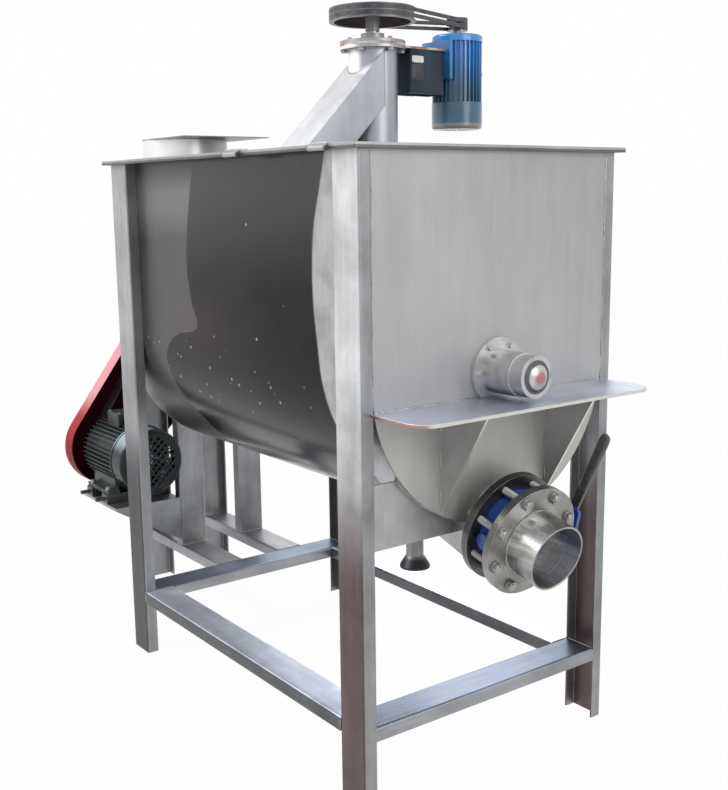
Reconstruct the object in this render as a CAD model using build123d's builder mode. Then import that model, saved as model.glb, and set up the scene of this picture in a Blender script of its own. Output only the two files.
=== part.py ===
"""Ribbon blender: U trough with double ribbons, lifting screw, belt drives and a butterfly outlet."""
import os
from math import asin, atan2, cos, degrees, radians, sin, sqrt

from build123d import *

os.makedirs("parts", exist_ok=True)

# Overall frame, measured from the floor, +X towards the outlet end
frame_length = 1290.0
frame_width = 832.0
rail_height = 209.0
leg_top = 1565.0
back_face_x = -440.9
front_face_x = back_face_x + frame_length
half_width = frame_width / 2

# Formed channel used for legs, rails, beams and posts
channel_web = 100.0
channel_flange = 36.0
channel_wall = 5.0
channel_bend = 7.0

# Trough and shaft
shaft_height = 1036.0
trough_radius = half_width - channel_flange
trough_wall = 4.0
end_plate_thickness = 5.0
trough_inner = trough_radius - trough_wall
trough_bottom = shaft_height - trough_radius

# Rim and covers
rim_overhang = 20.0
rim_thickness = 6.0
cover_thickness = 6.0
cover_split_x = back_face_x + 702.0
cover_joint = 1.0
cover_top = leg_top + rim_thickness + cover_thickness

# Clearances
seat_gap = 0.2
running_gap = 0.05
loose_gap = 2.0
overrun = 5.0

# Main shaft, arms and ribbons
shaft_radius = 38.0
journal_radius = 25.0
outer_ribbon_radius = 365.0
outer_ribbon_width = 48.0
inner_ribbon_radius = 195.0
inner_ribbon_width = 40.0
ribbon_thickness = 8.0
ribbon_end_gap = 15.0
ribbon_turns = 1.5
arm_width = 50.0
arm_thickness = 12.0
arm_end_inset = 6.0

# End shelf and gussets
shelf_drop = 61.0
shelf_height = shaft_height - shelf_drop
shelf_depth = 180.0
shelf_half_width = 385.0
shelf_thickness = 8.0
shelf_corner = 55.0
gusset_offset = 176.0
gusset_thickness = 6.0
gusset_top = 163.0

# Shaft bearing on each end plate
bearing_flange_radius = 84.0
bearing_flange_thickness = 12.0
bearing_body_radius = 54.0
bearing_body_length = 84.0
bearing_ring_radius = 51.5
bearing_ring_length = 42.0
bearing_ring_groove = 3.0
bearing_cap_radius = 36.0
bearing_cap_height = 16.0
bearing_bolt_radius = 6.0
bearing_bolt_head = 8.0
bearing_bolt_circle = 69.0
bearing_bolts = 4
bearing_half_turn = 180

# Outlet line, tilted down towards the front
outlet_tilt = 14.0
outlet_rise = 7.0
outlet_height = trough_bottom + outlet_rise
pipe_radius = 84.15
pipe_wall = 4.5
flange_radius = 142.5
flange_thickness = 20.0
flange_bolt_circle = 120.0
flange_bolts = 8
flange_hole_radius = 11.0
stud_radius = 10.0
nut_radius = 16.0
nut_thickness = 14.0
stud_spare = 10.0
neck_length = 38.0
valve_width = 56.0
valve_outer_radius = 106.0
valve_bore_radius = 75.0
valve_neck_radius = 20.0
valve_head_radius = 42.0
valve_head_thickness = 10.0
valve_head_offset = 176.0
valve_foot_offset = 120.0
gasket_gap = 0.3
disc_thickness = 8.0
disc_gap = 0.5
stem_radius = 9.0
spigot_length = 87.0
lever_length = 264.0
lever_width = 24.0
lever_thickness = 8.0
lever_forward = 12.0
lever_grip_radius = 9.0
lever_hub_radius = 17.0

# Collecting box below the trough
sump_length = 190.0
sump_half_width = 95.0
sump_depth = 82.0
sump_bottom = trough_bottom - sump_depth
sump_wall = 4.0
sump_back_rise = 60.0

# Saddle and drain
saddle_thickness = 8.0
saddle_drop = 16.0
saddle_bottom = trough_bottom - saddle_drop
saddle_height = 160.0
saddle_inset = 22.0
drain_x = back_face_x + 970.0
drain_radius = 24.15
drain_wall = 3.2
drain_length = 176.0
drain_end = trough_bottom - drain_length
drain_foot_radius = 42.0
drain_foot_height = 35.0
drain_foot_end = drain_end - drain_foot_height

# Drive frame behind the trough
beam_left_y = -47.0
beam_right_y = 199.0
beam_end_x = back_face_x - 540.0
near_post_x = back_face_x - 264.0
table_thickness = 12.0
table_left_y = -118.0
table_right_y = 318.0
table_overhang = 14.0

# Gear reducer
reducer_height = 160.0
input_offset = 200.0
reducer_x = back_face_x - 420.0
reducer_width = 170.0
output_case_radius = 122.0
input_case_radius = 92.0
reducer_base_thickness = 16.0
reducer_base_width = 230.0
reducer_joint_height = 22.0
reducer_joint_rim = 12.0
reducer_boss_length = 14.0
output_boss_radius = 66.0
input_boss_radius = 48.0
output_shaft_radius = 30.0
input_shaft_radius = 17.5
reducer_shaft_depth = 60.0
coupling_radius = 62.0
coupling_length = 52.0
coupling_chain = 14.0
coupling_chain_radius = 72.0
coupling_gap = 4.0

# Drive motor
motor_y = -222.0
motor_height = 550.0
motor_foot_height = 124.0
motor_cowl_x = back_face_x - 215.0
motor_cowl_radius = 119.0
motor_cowl_length = 95.0
motor_cowl_wall = 2.5
motor_body_length = 238.0
motor_core_radius = 100.0
motor_fin_radius = 118.0
motor_fin_thickness = 3.0
motor_fins = 44
motor_shield_radius = 96.0
motor_shield_length = 28.0
motor_shaft_radius = 14.0
motor_shaft_out = 62.0
motor_foot_width = 45.0
motor_foot_spread = 190.0
motor_foot_length = 180.0
motor_foot_thickness = 14.0
terminal_box_size = 96.0
terminal_box_height = 46.0
mesh_pitch = 19.0
mesh_hole = 13.0
fan_blades = 6
fan_radius = 92.0
fan_hub_radius = 34.0
fan_width = 30.0
fan_blade_thickness = 4.0

# Motor seat on slide rails
slide_rail_width = 46.0
slide_rail_height = 34.0
slide_rail_length = 250.0
slide_rail_wall = 7.0
slide_bolt_radius = 7.0
slide_bolt_out = 34.0
motor_shelf_thickness = 10.0
motor_shelf_left = 345.0
bracket_drop = 150.0
bracket_thickness = 8.0

# Back belts and guard
belt_count = 3
belt_pitch = 17.0
belt_top_width = 13.0
belt_bottom_width = 8.0
belt_depth = 8.5
belt_gap = 0.35
motor_wheel_radius = 68.0
driven_wheel_radius = 158.0
wheel_rim = 12.0
wheel_web = 14.0
wheel_hub_radius = 34.0
wheel_side = 3.5
wheel_hole_share = 0.8
back_wheel_width = (belt_count - 1) * belt_pitch + belt_top_width + 2 * wheel_side
guard_lower_radius = 150.0
guard_upper_radius = 203.0
guard_wall = 2.5
guard_margin = 5.0

# Lifting tube, chute and screw on the front cover
tube_x = back_face_x + 800.0
tube_radius = 66.5
tube_wall = 4.0
tube_reach = 152.0
tube_bottom = cover_top - tube_reach
tube_flange_radius = 88.0
tube_flange_thickness = 8.0
tube_flange_rise = 269.0
tube_flange_bottom = cover_top + tube_flange_rise
bracket_plate_thickness = 6.0
screw_shaft_radius = 19.0
screw_journal_radius = 15.0
screw_flight_radius = 61.0
screw_flight_thickness = 4.0
screw_pitch = 100.0
screw_turns = 4
top_bearing_radius = 32.0
top_bearing_height = 20.0
chute_width = 132.0
chute_top_rise = 273.0
chute_low_rise = 132.0
chute_wall = 3.0

# Top belts and vertical motor
top_wheel_radius = 116.0
top_wheel_width = 34.0
top_wheel_hub_drop = 24.0
top_wheel_gap = 6.0
top_wheel_bottom = (
    tube_flange_bottom
    + 2 * tube_flange_thickness
    + bracket_plate_thickness
    + top_bearing_height
    + top_wheel_gap
    + top_wheel_hub_drop
)
small_wheel_radius = 30.0
top_belt_count = 2
top_belt_pitch = 15.0
top_belt_top_width = 11.0
top_belt_bottom_width = 7.0
top_belt_depth = 7.0
top_motor_y = 300.0
top_motor_gap = 13.0
top_motor_top = top_wheel_bottom - top_motor_gap
top_motor_length = 259.0
top_motor_radius = 72.0
top_motor_core_radius = 62.0
top_motor_fins = 32
top_motor_cowl_length = 74.0
top_motor_shield_length = 20.0
top_motor_shaft_radius = 9.5
top_motor_foot_y = 221.0
top_motor_foot_thickness = 9.0
top_motor_foot_length = 105.0
top_motor_foot_width = 120.0
foot_neck_share = 0.7
grille_ring_shares = (0.35, 0.6)
grille_slot_share = 0.18
grille_slots = 12
top_fan_hub_share = 0.3
top_fan_blade_share = 0.5
bracket_box_near_y = 78.0
bracket_box_step_y = 152.0
bracket_box_height = 117.0
bracket_box_bottom = tube_flange_bottom + tube_flange_thickness - bracket_box_height
bracket_box_half = 42.0
bracket_box_wall = 4.0
bracket_box_inset = 9.0

# Feed collar and loose sheet on the back cover
collar_x = back_face_x + 210.0
collar_y = -265.0
collar_radius = 125.0
collar_wall = 3.0
collar_height = 55.0
sheet_length = 280.0
sheet_width = 280.0
sheet_thickness = 2.0
sheet_offset_x = 102.0
sheet_offset_y = 14.0
sheet_lip = 12.0

# Rim clips
clip_back_x = back_face_x + 792.0
clip_front_x = back_face_x + 1177.0
clip_width = 62.0
clip_thickness = 4.0
clip_reach = 26.0
clip_pin_radius = 4.0
clip_eye_radius = 6.5
clip_lug_thickness = 5.0


def rounded_web(width, height, bend, lift):
    """Rectangle on the X axis with its two lower corners rounded."""
    with BuildSketch() as outline:
        with Locations((0, lift)):
            Rectangle(width, height, align=(Align.CENTER, Align.MIN))
        fillet(outline.vertices().group_by(Axis.Y)[0], bend)
    return outline.sketch


def frame_channel(plane, length):
    """One formed channel: web along the plane's X axis, flanges along its Y axis."""
    with BuildPart() as bar:
        with BuildSketch(plane):
            add(rounded_web(channel_web, channel_flange, channel_bend, 0))
            add(
                rounded_web(
                    channel_web - 2 * channel_wall,
                    channel_flange,
                    channel_bend - channel_wall,
                    channel_wall,
                ),
                mode=Mode.SUBTRACT,
            )
        extrude(amount=length)
    return bar


def save(shape, node):
    """Label a finished piece and write its STEP file."""
    shape.label = node
    export_step(shape, f"parts/{node}.step")


# Legs: webs face out to the sides, flanges point inwards
leg_mid = channel_web / 2
leg_places = {
    "leg_back_left": (back_face_x + leg_mid, -half_width, 1),
    "leg_front_left": (front_face_x - leg_mid, -half_width, 1),
    "leg_front_right": (front_face_x - leg_mid, half_width, -1),
    "leg_back_right": (back_face_x + leg_mid, half_width, -1),
}
for node, (x, y, turn) in leg_places.items():
    leg = frame_channel(Plane(origin=(x, y, 0), x_dir=(turn, 0, 0), z_dir=(0, 0, 1)), leg_top)
    save(leg.part, node)

# Side rails between the legs, webs on top
side_rail_length = frame_length - 2 * channel_web
rail_mid = half_width - channel_web / 2
side_rails = [
    frame_channel(
        Plane(origin=(back_face_x + channel_web, y, rail_height), x_dir=(0, -1, 0), z_dir=(1, 0, 0)),
        side_rail_length,
    ).part
    for y in (-rail_mid, rail_mid)
]
save(Compound(children=side_rails), "side_rails")

# Cross rails between the flange tips of the legs
cross_rails = [
    frame_channel(
        Plane(origin=(x, -trough_radius, rail_height), x_dir=(1, 0, 0), z_dir=(0, 1, 0)),
        2 * trough_radius,
    ).part
    for x in (back_face_x + leg_mid, front_face_x - leg_mid)
]
save(Compound(children=cross_rails), "cross_rails")

# Two drive beams run back from the back cross rail
beam_length = back_face_x - beam_end_x
drive_beams = [
    frame_channel(
        Plane(origin=(beam_end_x, y, rail_height), x_dir=(0, -1, 0), z_dir=(1, 0, 0)), beam_length
    ).part
    for y in (beam_left_y, beam_right_y)
]
save(Compound(children=drive_beams), "drive_beams")

# Posts that carry the drive table: near ones stand on the beams, far ones on the floor
table_bottom = shaft_height - reducer_height - table_thickness
far_post_x = beam_end_x - channel_flange
post_bars = {"near_posts": [], "far_posts": []}
for y in (beam_left_y, beam_right_y):
    near_plane = Plane(origin=(near_post_x, y, rail_height), x_dir=(0, 1, 0), z_dir=(0, 0, 1))
    far_plane = Plane(origin=(far_post_x, y, 0), x_dir=(0, -1, 0), z_dir=(0, 0, 1))
    post_bars["near_posts"].append(frame_channel(near_plane, table_bottom - rail_height).part)
    post_bars["far_posts"].append(frame_channel(far_plane, table_bottom).part)
for node, bars in post_bars.items():
    save(Compound(children=bars), node)

# Drive table under the reducer
table_back_x = far_post_x
table_front_x = near_post_x + table_overhang
with BuildPart() as drive_table:
    with BuildSketch(Plane.XY.offset(table_bottom)) as table_sketch:
        with Locations(((table_back_x + table_front_x) / 2, (table_left_y + table_right_y) / 2)):
            Rectangle(table_front_x - table_back_x, table_right_y - table_left_y)
        fillet(table_sketch.vertices(), channel_bend)
    extrude(amount=table_thickness)
save(drive_table.part, "drive_table")

# Trough wrap: straight sides and a half-round bottom
trough_start_x = back_face_x + end_plate_thickness
trough_end_x = front_face_x - end_plate_thickness


def trough_outline(radius, top):
    """U outline: vertical sides down to the shaft height, then a half circle."""
    with BuildSketch() as outline:
        with BuildLine():
            Line((-radius, top), (-radius, 0))
            ThreePointArc((-radius, 0), (0, -radius), (radius, 0))
            Line((radius, 0), (radius, top))
            Line((radius, top), (-radius, top))
        make_face()
    return outline.sketch


def cross_plane(x):
    """Plane across the trough at x, seen from the front, centred on the shaft."""
    return Plane(origin=(x, 0, shaft_height), x_dir=(0, 1, 0), z_dir=(1, 0, 0))


wall_height = leg_top - shaft_height
sump_back_x = trough_end_x - sump_length
with BuildPart() as trough_shell:
    with BuildSketch(cross_plane(trough_start_x)):
        add(trough_outline(trough_radius, wall_height))
        add(trough_outline(trough_inner, wall_height + overrun), mode=Mode.SUBTRACT)
    extrude(amount=trough_end_x - trough_start_x)
    with BuildSketch(Plane.XY.offset(trough_bottom - overrun)):
        with Locations((trough_end_x + overrun, 0)):
            Rectangle(
                sump_length - sump_wall + overrun,
                2 * (sump_half_width - sump_wall),
                align=(Align.MAX, Align.CENTER),
            )
        with Locations((drain_x, 0)):
            Circle(drain_radius - drain_wall)
    extrude(amount=2 * overrun + trough_radius / 2, mode=Mode.SUBTRACT)
save(trough_shell.part, "trough_shell")

# Outlet line planes
outlet_direction = Vector(cos(radians(outlet_tilt)), 0, -sin(radians(outlet_tilt)))


def outlet_plane(distance):
    """Plane square to the outlet line at a distance in front of the end plate."""
    start = Vector(front_face_x, 0, outlet_height)
    return Plane(origin=start + outlet_direction * distance, x_dir=(0, 1, 0), z_dir=outlet_direction)


# End plates
with BuildPart() as end_plate_back:
    with BuildSketch(cross_plane(back_face_x)):
        add(trough_outline(trough_radius, wall_height))
        Circle(shaft_radius + loose_gap, mode=Mode.SUBTRACT)
    extrude(amount=end_plate_thickness)
save(end_plate_back.part, "end_plate_back")

with BuildPart() as end_plate_front:
    with BuildSketch(cross_plane(trough_end_x)):
        add(trough_outline(trough_radius, wall_height))
        with Locations((0, sump_bottom - shaft_height)):
            Rectangle(2 * sump_half_width, trough_radius, align=(Align.CENTER, Align.MIN))
        Circle(shaft_radius + loose_gap, mode=Mode.SUBTRACT)
    extrude(amount=end_plate_thickness)
    with BuildSketch(outlet_plane(-trough_radius / 2)):
        Circle(pipe_radius - pipe_wall)
    extrude(amount=trough_radius, mode=Mode.SUBTRACT)
save(end_plate_front.part, "end_plate_front")

# Collecting box under the trough's front end, with a sloped floor
with BuildPart() as outlet_sump:
    with BuildSketch(Plane.XZ.offset(-sump_half_width)):
        with BuildLine():
            Polyline(
                (sump_back_x, sump_bottom + sump_back_rise),
                (trough_end_x, sump_bottom),
                (trough_end_x, shaft_height),
                (sump_back_x, shaft_height),
                close=True,
            )
        make_face()
    extrude(amount=2 * sump_half_width)
    with BuildSketch(Plane.XZ.offset(-sump_half_width + sump_wall)):
        with BuildLine():
            Polyline(
                (sump_back_x + sump_wall, sump_bottom + sump_back_rise + sump_wall),
                (trough_end_x, sump_bottom + sump_wall),
                (trough_end_x, shaft_height),
                (sump_back_x + sump_wall, shaft_height),
                close=True,
            )
        make_face()
    extrude(amount=2 * (sump_half_width - sump_wall), mode=Mode.SUBTRACT)
    with BuildSketch(cross_plane(sump_back_x - overrun)):
        Circle(trough_radius + seat_gap)
    extrude(amount=sump_length + 2 * overrun, mode=Mode.SUBTRACT)
save(outlet_sump.part, "outlet_sump")

# Rim flange around the top of the trough and legs, with pins for the clips and two fixed hooks
rim_length = frame_length + 2 * rim_overhang
rim_width = frame_width + 2 * rim_overhang
rim_mid_x = (back_face_x + front_face_x) / 2
rim_edge = half_width + rim_overhang
clip_pin_y = -rim_edge - clip_eye_radius - loose_gap / 4
clip_pin_z = leg_top + rim_thickness / 2
hook_inner = rim_edge + loose_gap / 4
hook_outer = rim_edge + loose_gap / 4 + 2 * clip_eye_radius
with BuildPart() as rim_flange:
    with BuildSketch(Plane.XY.offset(leg_top)) as rim_sketch:
        with Locations((rim_mid_x, 0)):
            Rectangle(rim_length, rim_width)
        fillet(rim_sketch.vertices(), rim_thickness)
        with Locations((rim_mid_x, 0)):
            Rectangle(trough_end_x - trough_start_x, 2 * trough_inner, mode=Mode.SUBTRACT)
    extrude(amount=rim_thickness)
    for x in (clip_back_x, clip_front_x):
        pin_start = x - clip_width / 2 - clip_lug_thickness - loose_gap / 4
        with BuildSketch(Plane(origin=(pin_start, 0, 0), x_dir=(0, 1, 0), z_dir=(1, 0, 0))):
            with Locations((clip_pin_y, clip_pin_z)):
                Circle(clip_pin_radius)
        extrude(amount=clip_width + 2 * clip_lug_thickness + loose_gap / 2)
        for lug_start in (pin_start, x + clip_width / 2 + loose_gap / 4):
            with BuildSketch(Plane(origin=(lug_start, 0, 0), x_dir=(0, 1, 0), z_dir=(1, 0, 0))):
                with Locations((clip_pin_y, clip_pin_z)):
                    Circle(clip_eye_radius - loose_gap / 4)
                    Rectangle(
                        clip_eye_radius + loose_gap, rim_thickness, align=(Align.MIN, Align.CENTER)
                    )
            extrude(amount=clip_lug_thickness)
        with BuildSketch(Plane(origin=(x - clip_width / 2, 0, 0), x_dir=(0, 1, 0), z_dir=(1, 0, 0))):
            with BuildLine():
                Polyline(
                    (rim_edge, leg_top),
                    (rim_edge, leg_top + rim_thickness),
                    (hook_inner, leg_top + rim_thickness),
                    (hook_inner, cover_top + loose_gap / 4),
                    (hook_inner - clip_reach, cover_top + loose_gap / 4),
                    (hook_inner - clip_reach, cover_top + loose_gap / 4 + clip_thickness),
                    (hook_outer, cover_top + loose_gap / 4 + clip_thickness),
                    (hook_outer, leg_top),
                    close=True,
                )
            make_face()
        extrude(amount=clip_width)
save(rim_flange.part, "rim_flange")

# Two cover plates; the back one has the feed hole, the front one the tube and chute holes
cover_plane = Plane.XY.offset(leg_top + rim_thickness)
rim_back_x = back_face_x - rim_overhang
rim_front_x = front_face_x + rim_overhang
with BuildPart() as cover_back:
    with BuildSketch(cover_plane) as cover_sketch:
        with Locations((rim_back_x, 0)):
            Rectangle(
                cover_split_x - rim_back_x - cover_joint, rim_width, align=(Align.MIN, Align.CENTER)
            )
        fillet(cover_sketch.vertices().group_by(Axis.X)[0], rim_thickness)
        with Locations((collar_x, collar_y)):
            Circle(collar_radius - collar_wall, mode=Mode.SUBTRACT)
    extrude(amount=cover_thickness)
save(cover_back.part, "cover_back")

with BuildPart() as cover_front:
    with BuildSketch(cover_plane) as cover_sketch:
        with Locations((rim_front_x, 0)):
            Rectangle(rim_front_x - cover_split_x, rim_width, align=(Align.MAX, Align.CENTER))
        fillet(cover_sketch.vertices().group_by(Axis.X)[-1], rim_thickness)
        with Locations((tube_x, 0)):
            Circle(tube_radius + seat_gap, mode=Mode.SUBTRACT)
        with Locations((tube_x, -(chute_top_rise + chute_low_rise) / 2)):
            Rectangle(
                chute_width - 2 * chute_wall,
                chute_top_rise - chute_low_rise - 2 * chute_wall * sqrt(2),
                mode=Mode.SUBTRACT,
            )
    extrude(amount=cover_thickness)
save(cover_front.part, "cover_front")

# Feed collar
with BuildPart() as feed_collar:
    with BuildSketch(Plane.XY.offset(cover_top)):
        with Locations((collar_x, collar_y)):
            Circle(collar_radius)
            Circle(collar_radius - collar_wall, mode=Mode.SUBTRACT)
    extrude(amount=collar_height)
    fillet(feed_collar.faces().sort_by(Axis.Z)[-1].edges(), collar_wall / 4)
save(feed_collar.part, "feed_collar")

# Loose sheet that lies on the collar
sheet_bottom = cover_top + collar_height + seat_gap
with BuildPart() as feed_sheet:
    with BuildSketch(Plane.XY.offset(sheet_bottom)) as sheet_sketch:
        with Locations((collar_x + sheet_offset_x, collar_y + sheet_offset_y)):
            Rectangle(sheet_length, sheet_width)
        fillet(sheet_sketch.vertices(), sheet_lip)
    extrude(amount=sheet_thickness)
save(feed_sheet.part, "feed_sheet")

# Rim clips: each turns on a pin at the rim's edge and hooks over the front cover


def rim_clip(x):
    """Bent strip with a rolled eye on the pin and a lip over the cover."""
    inner_y = -rim_edge - loose_gap / 4
    top_z = cover_top + loose_gap / 4
    with BuildPart() as clip:
        with BuildSketch(Plane(origin=(x - clip_width / 2, 0, 0), x_dir=(0, 1, 0), z_dir=(1, 0, 0))):
            with BuildLine():
                Polyline(
                    (inner_y - clip_thickness, clip_pin_z),
                    (inner_y, clip_pin_z),
                    (inner_y, top_z),
                    (inner_y + clip_reach, top_z),
                    (inner_y + clip_reach, top_z + clip_thickness),
                    (inner_y - clip_thickness, top_z + clip_thickness),
                    close=True,
                )
            make_face()
            with Locations((clip_pin_y, clip_pin_z)):
                Circle(clip_eye_radius)
                Circle(clip_pin_radius + running_gap, mode=Mode.SUBTRACT)
        extrude(amount=clip_width)
        fillet(clip.edges().filter_by(Axis.X).group_by(Axis.Z)[-1].sort_by(Axis.Y)[0], clip_thickness)
    return clip


save(rim_clip(clip_back_x).part, "rim_clip_back")
save(rim_clip(clip_front_x).part, "rim_clip_front")

# End shelf with two gussets on the front end plate
with BuildPart() as end_shelf:
    with BuildSketch(Plane.XY.offset(shelf_height - shelf_thickness)) as shelf_sketch:
        with Locations((front_face_x, 0)):
            Rectangle(shelf_depth, 2 * shelf_half_width, align=(Align.MIN, Align.CENTER))
        fillet(shelf_sketch.vertices().group_by(Axis.X)[-1], shelf_corner)
    extrude(amount=shelf_thickness)
    gusset_low = shaft_height - sqrt(trough_radius**2 - gusset_offset**2)
    for y in (-gusset_offset, gusset_offset):
        with BuildSketch(Plane.XZ.offset(-y - gusset_thickness / 2)):
            with BuildLine():
                Polyline(
                    (front_face_x, gusset_low),
                    (front_face_x, shelf_height - shelf_thickness),
                    (front_face_x + gusset_top, shelf_height - shelf_thickness),
                    close=True,
                )
            make_face()
        extrude(amount=gusset_thickness)
save(end_shelf.part, "end_shelf")


def bearing_bolt_heads(plane):
    """Hexagon heads on the bearing's base flange."""
    with BuildPart() as heads:
        with BuildSketch(plane):
            with PolarLocations(
                bearing_bolt_circle, bearing_bolts, start_angle=0, angular_range=bearing_half_turn, endpoint=True
            ):
                RegularPolygon(bearing_bolt_radius * 2 / sqrt(3), 6)
        extrude(amount=bearing_bolt_head)
    return heads.part


# Front bearing: base flange, body, end ring and domed cap
bearing_bore = journal_radius + running_gap
ring_start = bearing_flange_thickness + bearing_body_length
front_axis = Axis((front_face_x, 0, shaft_height), (1, 0, 0))
ring_face_x = front_face_x + ring_start + bearing_ring_length
dome_radius = (bearing_cap_radius**2 + bearing_cap_height**2) / (2 * bearing_cap_height)
dome_half_angle = asin(bearing_cap_radius / dome_radius) / 2
dome_middle = (
    bearing_cap_height - dome_radius * (1 - cos(dome_half_angle)),
    dome_radius * sin(dome_half_angle),
)
with BuildPart() as front_bearing:
    with BuildSketch(cross_plane(front_face_x)):
        Circle(bearing_flange_radius)
    extrude(amount=bearing_flange_thickness)
    with BuildSketch(cross_plane(front_face_x + bearing_flange_thickness)):
        Circle(bearing_body_radius)
    extrude(amount=bearing_body_length)
    with BuildSketch(cross_plane(front_face_x + ring_start)):
        Circle(bearing_ring_radius)
    extrude(amount=bearing_ring_length)
    with BuildSketch(Plane(origin=(ring_face_x, 0, shaft_height), x_dir=(1, 0, 0), z_dir=(0, -1, 0))):
        with BuildLine():
            Polyline(
                (bearing_cap_height, 0),
                (-bearing_ring_groove, 0),
                (-bearing_ring_groove, bearing_cap_radius),
                (0, bearing_cap_radius),
            )
            ThreePointArc((0, bearing_cap_radius), dome_middle, (bearing_cap_height, 0))
        make_face()
    revolve(axis=front_axis)
    with BuildSketch(Plane.XY.offset(shelf_height + seat_gap)):
        with Locations((front_face_x, 0)):
            Rectangle(2 * ring_start, 2 * bearing_flange_radius)
    extrude(amount=-bearing_flange_radius, mode=Mode.SUBTRACT)
    add(bearing_bolt_heads(cross_plane(front_face_x + bearing_flange_thickness)))
    with BuildSketch(cross_plane(front_face_x - overrun)):
        Circle(bearing_bore)
    extrude(amount=ring_start + bearing_ring_length / 2 + overrun, mode=Mode.SUBTRACT)
save(front_bearing.part, "front_bearing")

# Back bearing: the same housing without the cap, open for the shaft
back_bearing_end = back_face_x - ring_start
with BuildPart() as back_bearing:
    with BuildSketch(cross_plane(back_face_x - bearing_flange_thickness)):
        Circle(bearing_flange_radius)
    extrude(amount=bearing_flange_thickness)
    with BuildSketch(cross_plane(back_bearing_end)):
        Circle(bearing_body_radius)
    extrude(amount=bearing_body_length)
    add(bearing_bolt_heads(cross_plane(back_face_x - bearing_flange_thickness - bearing_bolt_head)))
    with BuildSketch(cross_plane(back_bearing_end - overrun)):
        Circle(bearing_bore)
    extrude(amount=ring_start + 2 * overrun, mode=Mode.SUBTRACT)
save(back_bearing.part, "back_bearing")

# Ribbons: two outer strips of one hand and two inner strips of the other
ribbon_start_x = trough_start_x + ribbon_end_gap + ribbon_thickness
ribbon_length = trough_end_x - trough_start_x - 2 * (ribbon_end_gap + ribbon_thickness)
ribbon_pitch = ribbon_length / ribbon_turns


def ribbon(radius, width, lefthand, start_turn):
    """Flat strip on edge, swept along a helix about the shaft, its start turned from +Y."""
    middle = radius - width / 2
    start = Vector(ribbon_start_x, 0, shaft_height)
    with BuildPart() as strip:
        with BuildLine() as path:
            Helix(
                pitch=ribbon_pitch,
                height=ribbon_length,
                radius=middle,
                center=start,
                direction=(1, 0, 0),
                lefthand=lefthand,
            )
        first = path.line @ 0
        tangent = path.line % 0
        radial = (first - start).normalized()
        with BuildSketch(Plane(origin=first, x_dir=radial, z_dir=tangent)):
            Rectangle(width, ribbon_thickness)
        sweep(is_frenet=True)
    turn = start_turn - degrees(atan2(radial.Z, radial.Y))
    return strip.part.rotate(Axis((0, 0, shaft_height), (1, 0, 0)), turn)


outer_pair = [ribbon(outer_ribbon_radius, outer_ribbon_width, False, turn) for turn in (0, 180)]
inner_pair = [ribbon(inner_ribbon_radius, inner_ribbon_width, True, turn) for turn in (0, 180)]
save(Compound(children=outer_pair), "outer_ribbons")
save(Compound(children=inner_pair), "inner_ribbons")

# Main shaft with flat arms through it; every quarter pitch all ribbons cross one line
coupling_mid_x = back_face_x - ring_start - coupling_length - 2 * coupling_gap
shaft_back_x = coupling_mid_x + coupling_gap / 2
journal_end_x = front_face_x + ring_start + bearing_ring_length / 2 - loose_gap
outer_arm_reach = outer_ribbon_radius - outer_ribbon_width / 2
inner_arm_reach = inner_ribbon_radius - inner_ribbon_width / 2
quarter_turn = 90
arm_places = [
    (ribbon_start_x + index * ribbon_pitch / 4, index * quarter_turn, outer_arm_reach)
    for index in range(1, round(ribbon_turns * 4))
]
for arm_x in (
    ribbon_start_x + arm_end_inset + arm_width / 2,
    ribbon_start_x + ribbon_length - arm_end_inset - arm_width / 2,
):
    arm_turn = 360 * (arm_x - ribbon_start_x) / ribbon_pitch
    arm_places.append((arm_x, arm_turn, outer_arm_reach))
    arm_places.append((arm_x, -arm_turn, inner_arm_reach))
with BuildPart() as main_shaft:
    with BuildSketch(cross_plane(trough_start_x + loose_gap)):
        Circle(shaft_radius)
    extrude(amount=trough_end_x - trough_start_x - 2 * loose_gap)
    with BuildSketch(cross_plane(shaft_back_x)):
        Circle(journal_radius)
    extrude(amount=journal_end_x - shaft_back_x)
    for arm_x, arm_turn, arm_reach in arm_places:
        with BuildSketch(cross_plane(arm_x - arm_width / 2)):
            Rectangle(2 * arm_reach, arm_thickness, rotation=arm_turn)
        extrude(amount=arm_width)
    for strip in outer_pair + inner_pair:
        add(strip, mode=Mode.SUBTRACT)
save(main_shaft.part, "main_shaft")

# Outlet neck: pipe stub on the end plate and its flange
neck_end = neck_length + flange_thickness
with BuildPart() as outlet_neck:
    with BuildSketch(outlet_plane(-pipe_radius)):
        Circle(pipe_radius)
    extrude(amount=pipe_radius + neck_end)
    split(bisect_by=Plane(origin=(front_face_x, 0, 0), z_dir=(1, 0, 0)), keep=Keep.TOP)
    with BuildSketch(outlet_plane(neck_length)):
        Circle(flange_radius)
        with PolarLocations(flange_bolt_circle, flange_bolts, start_angle=180 / flange_bolts):
            Circle(flange_hole_radius, mode=Mode.SUBTRACT)
    extrude(amount=flange_thickness)
    with BuildSketch(outlet_plane(-pipe_radius)):
        Circle(pipe_radius - pipe_wall)
    extrude(amount=pipe_radius + neck_end + overrun, mode=Mode.SUBTRACT)
save(outlet_neck.part, "outlet_neck")

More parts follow.
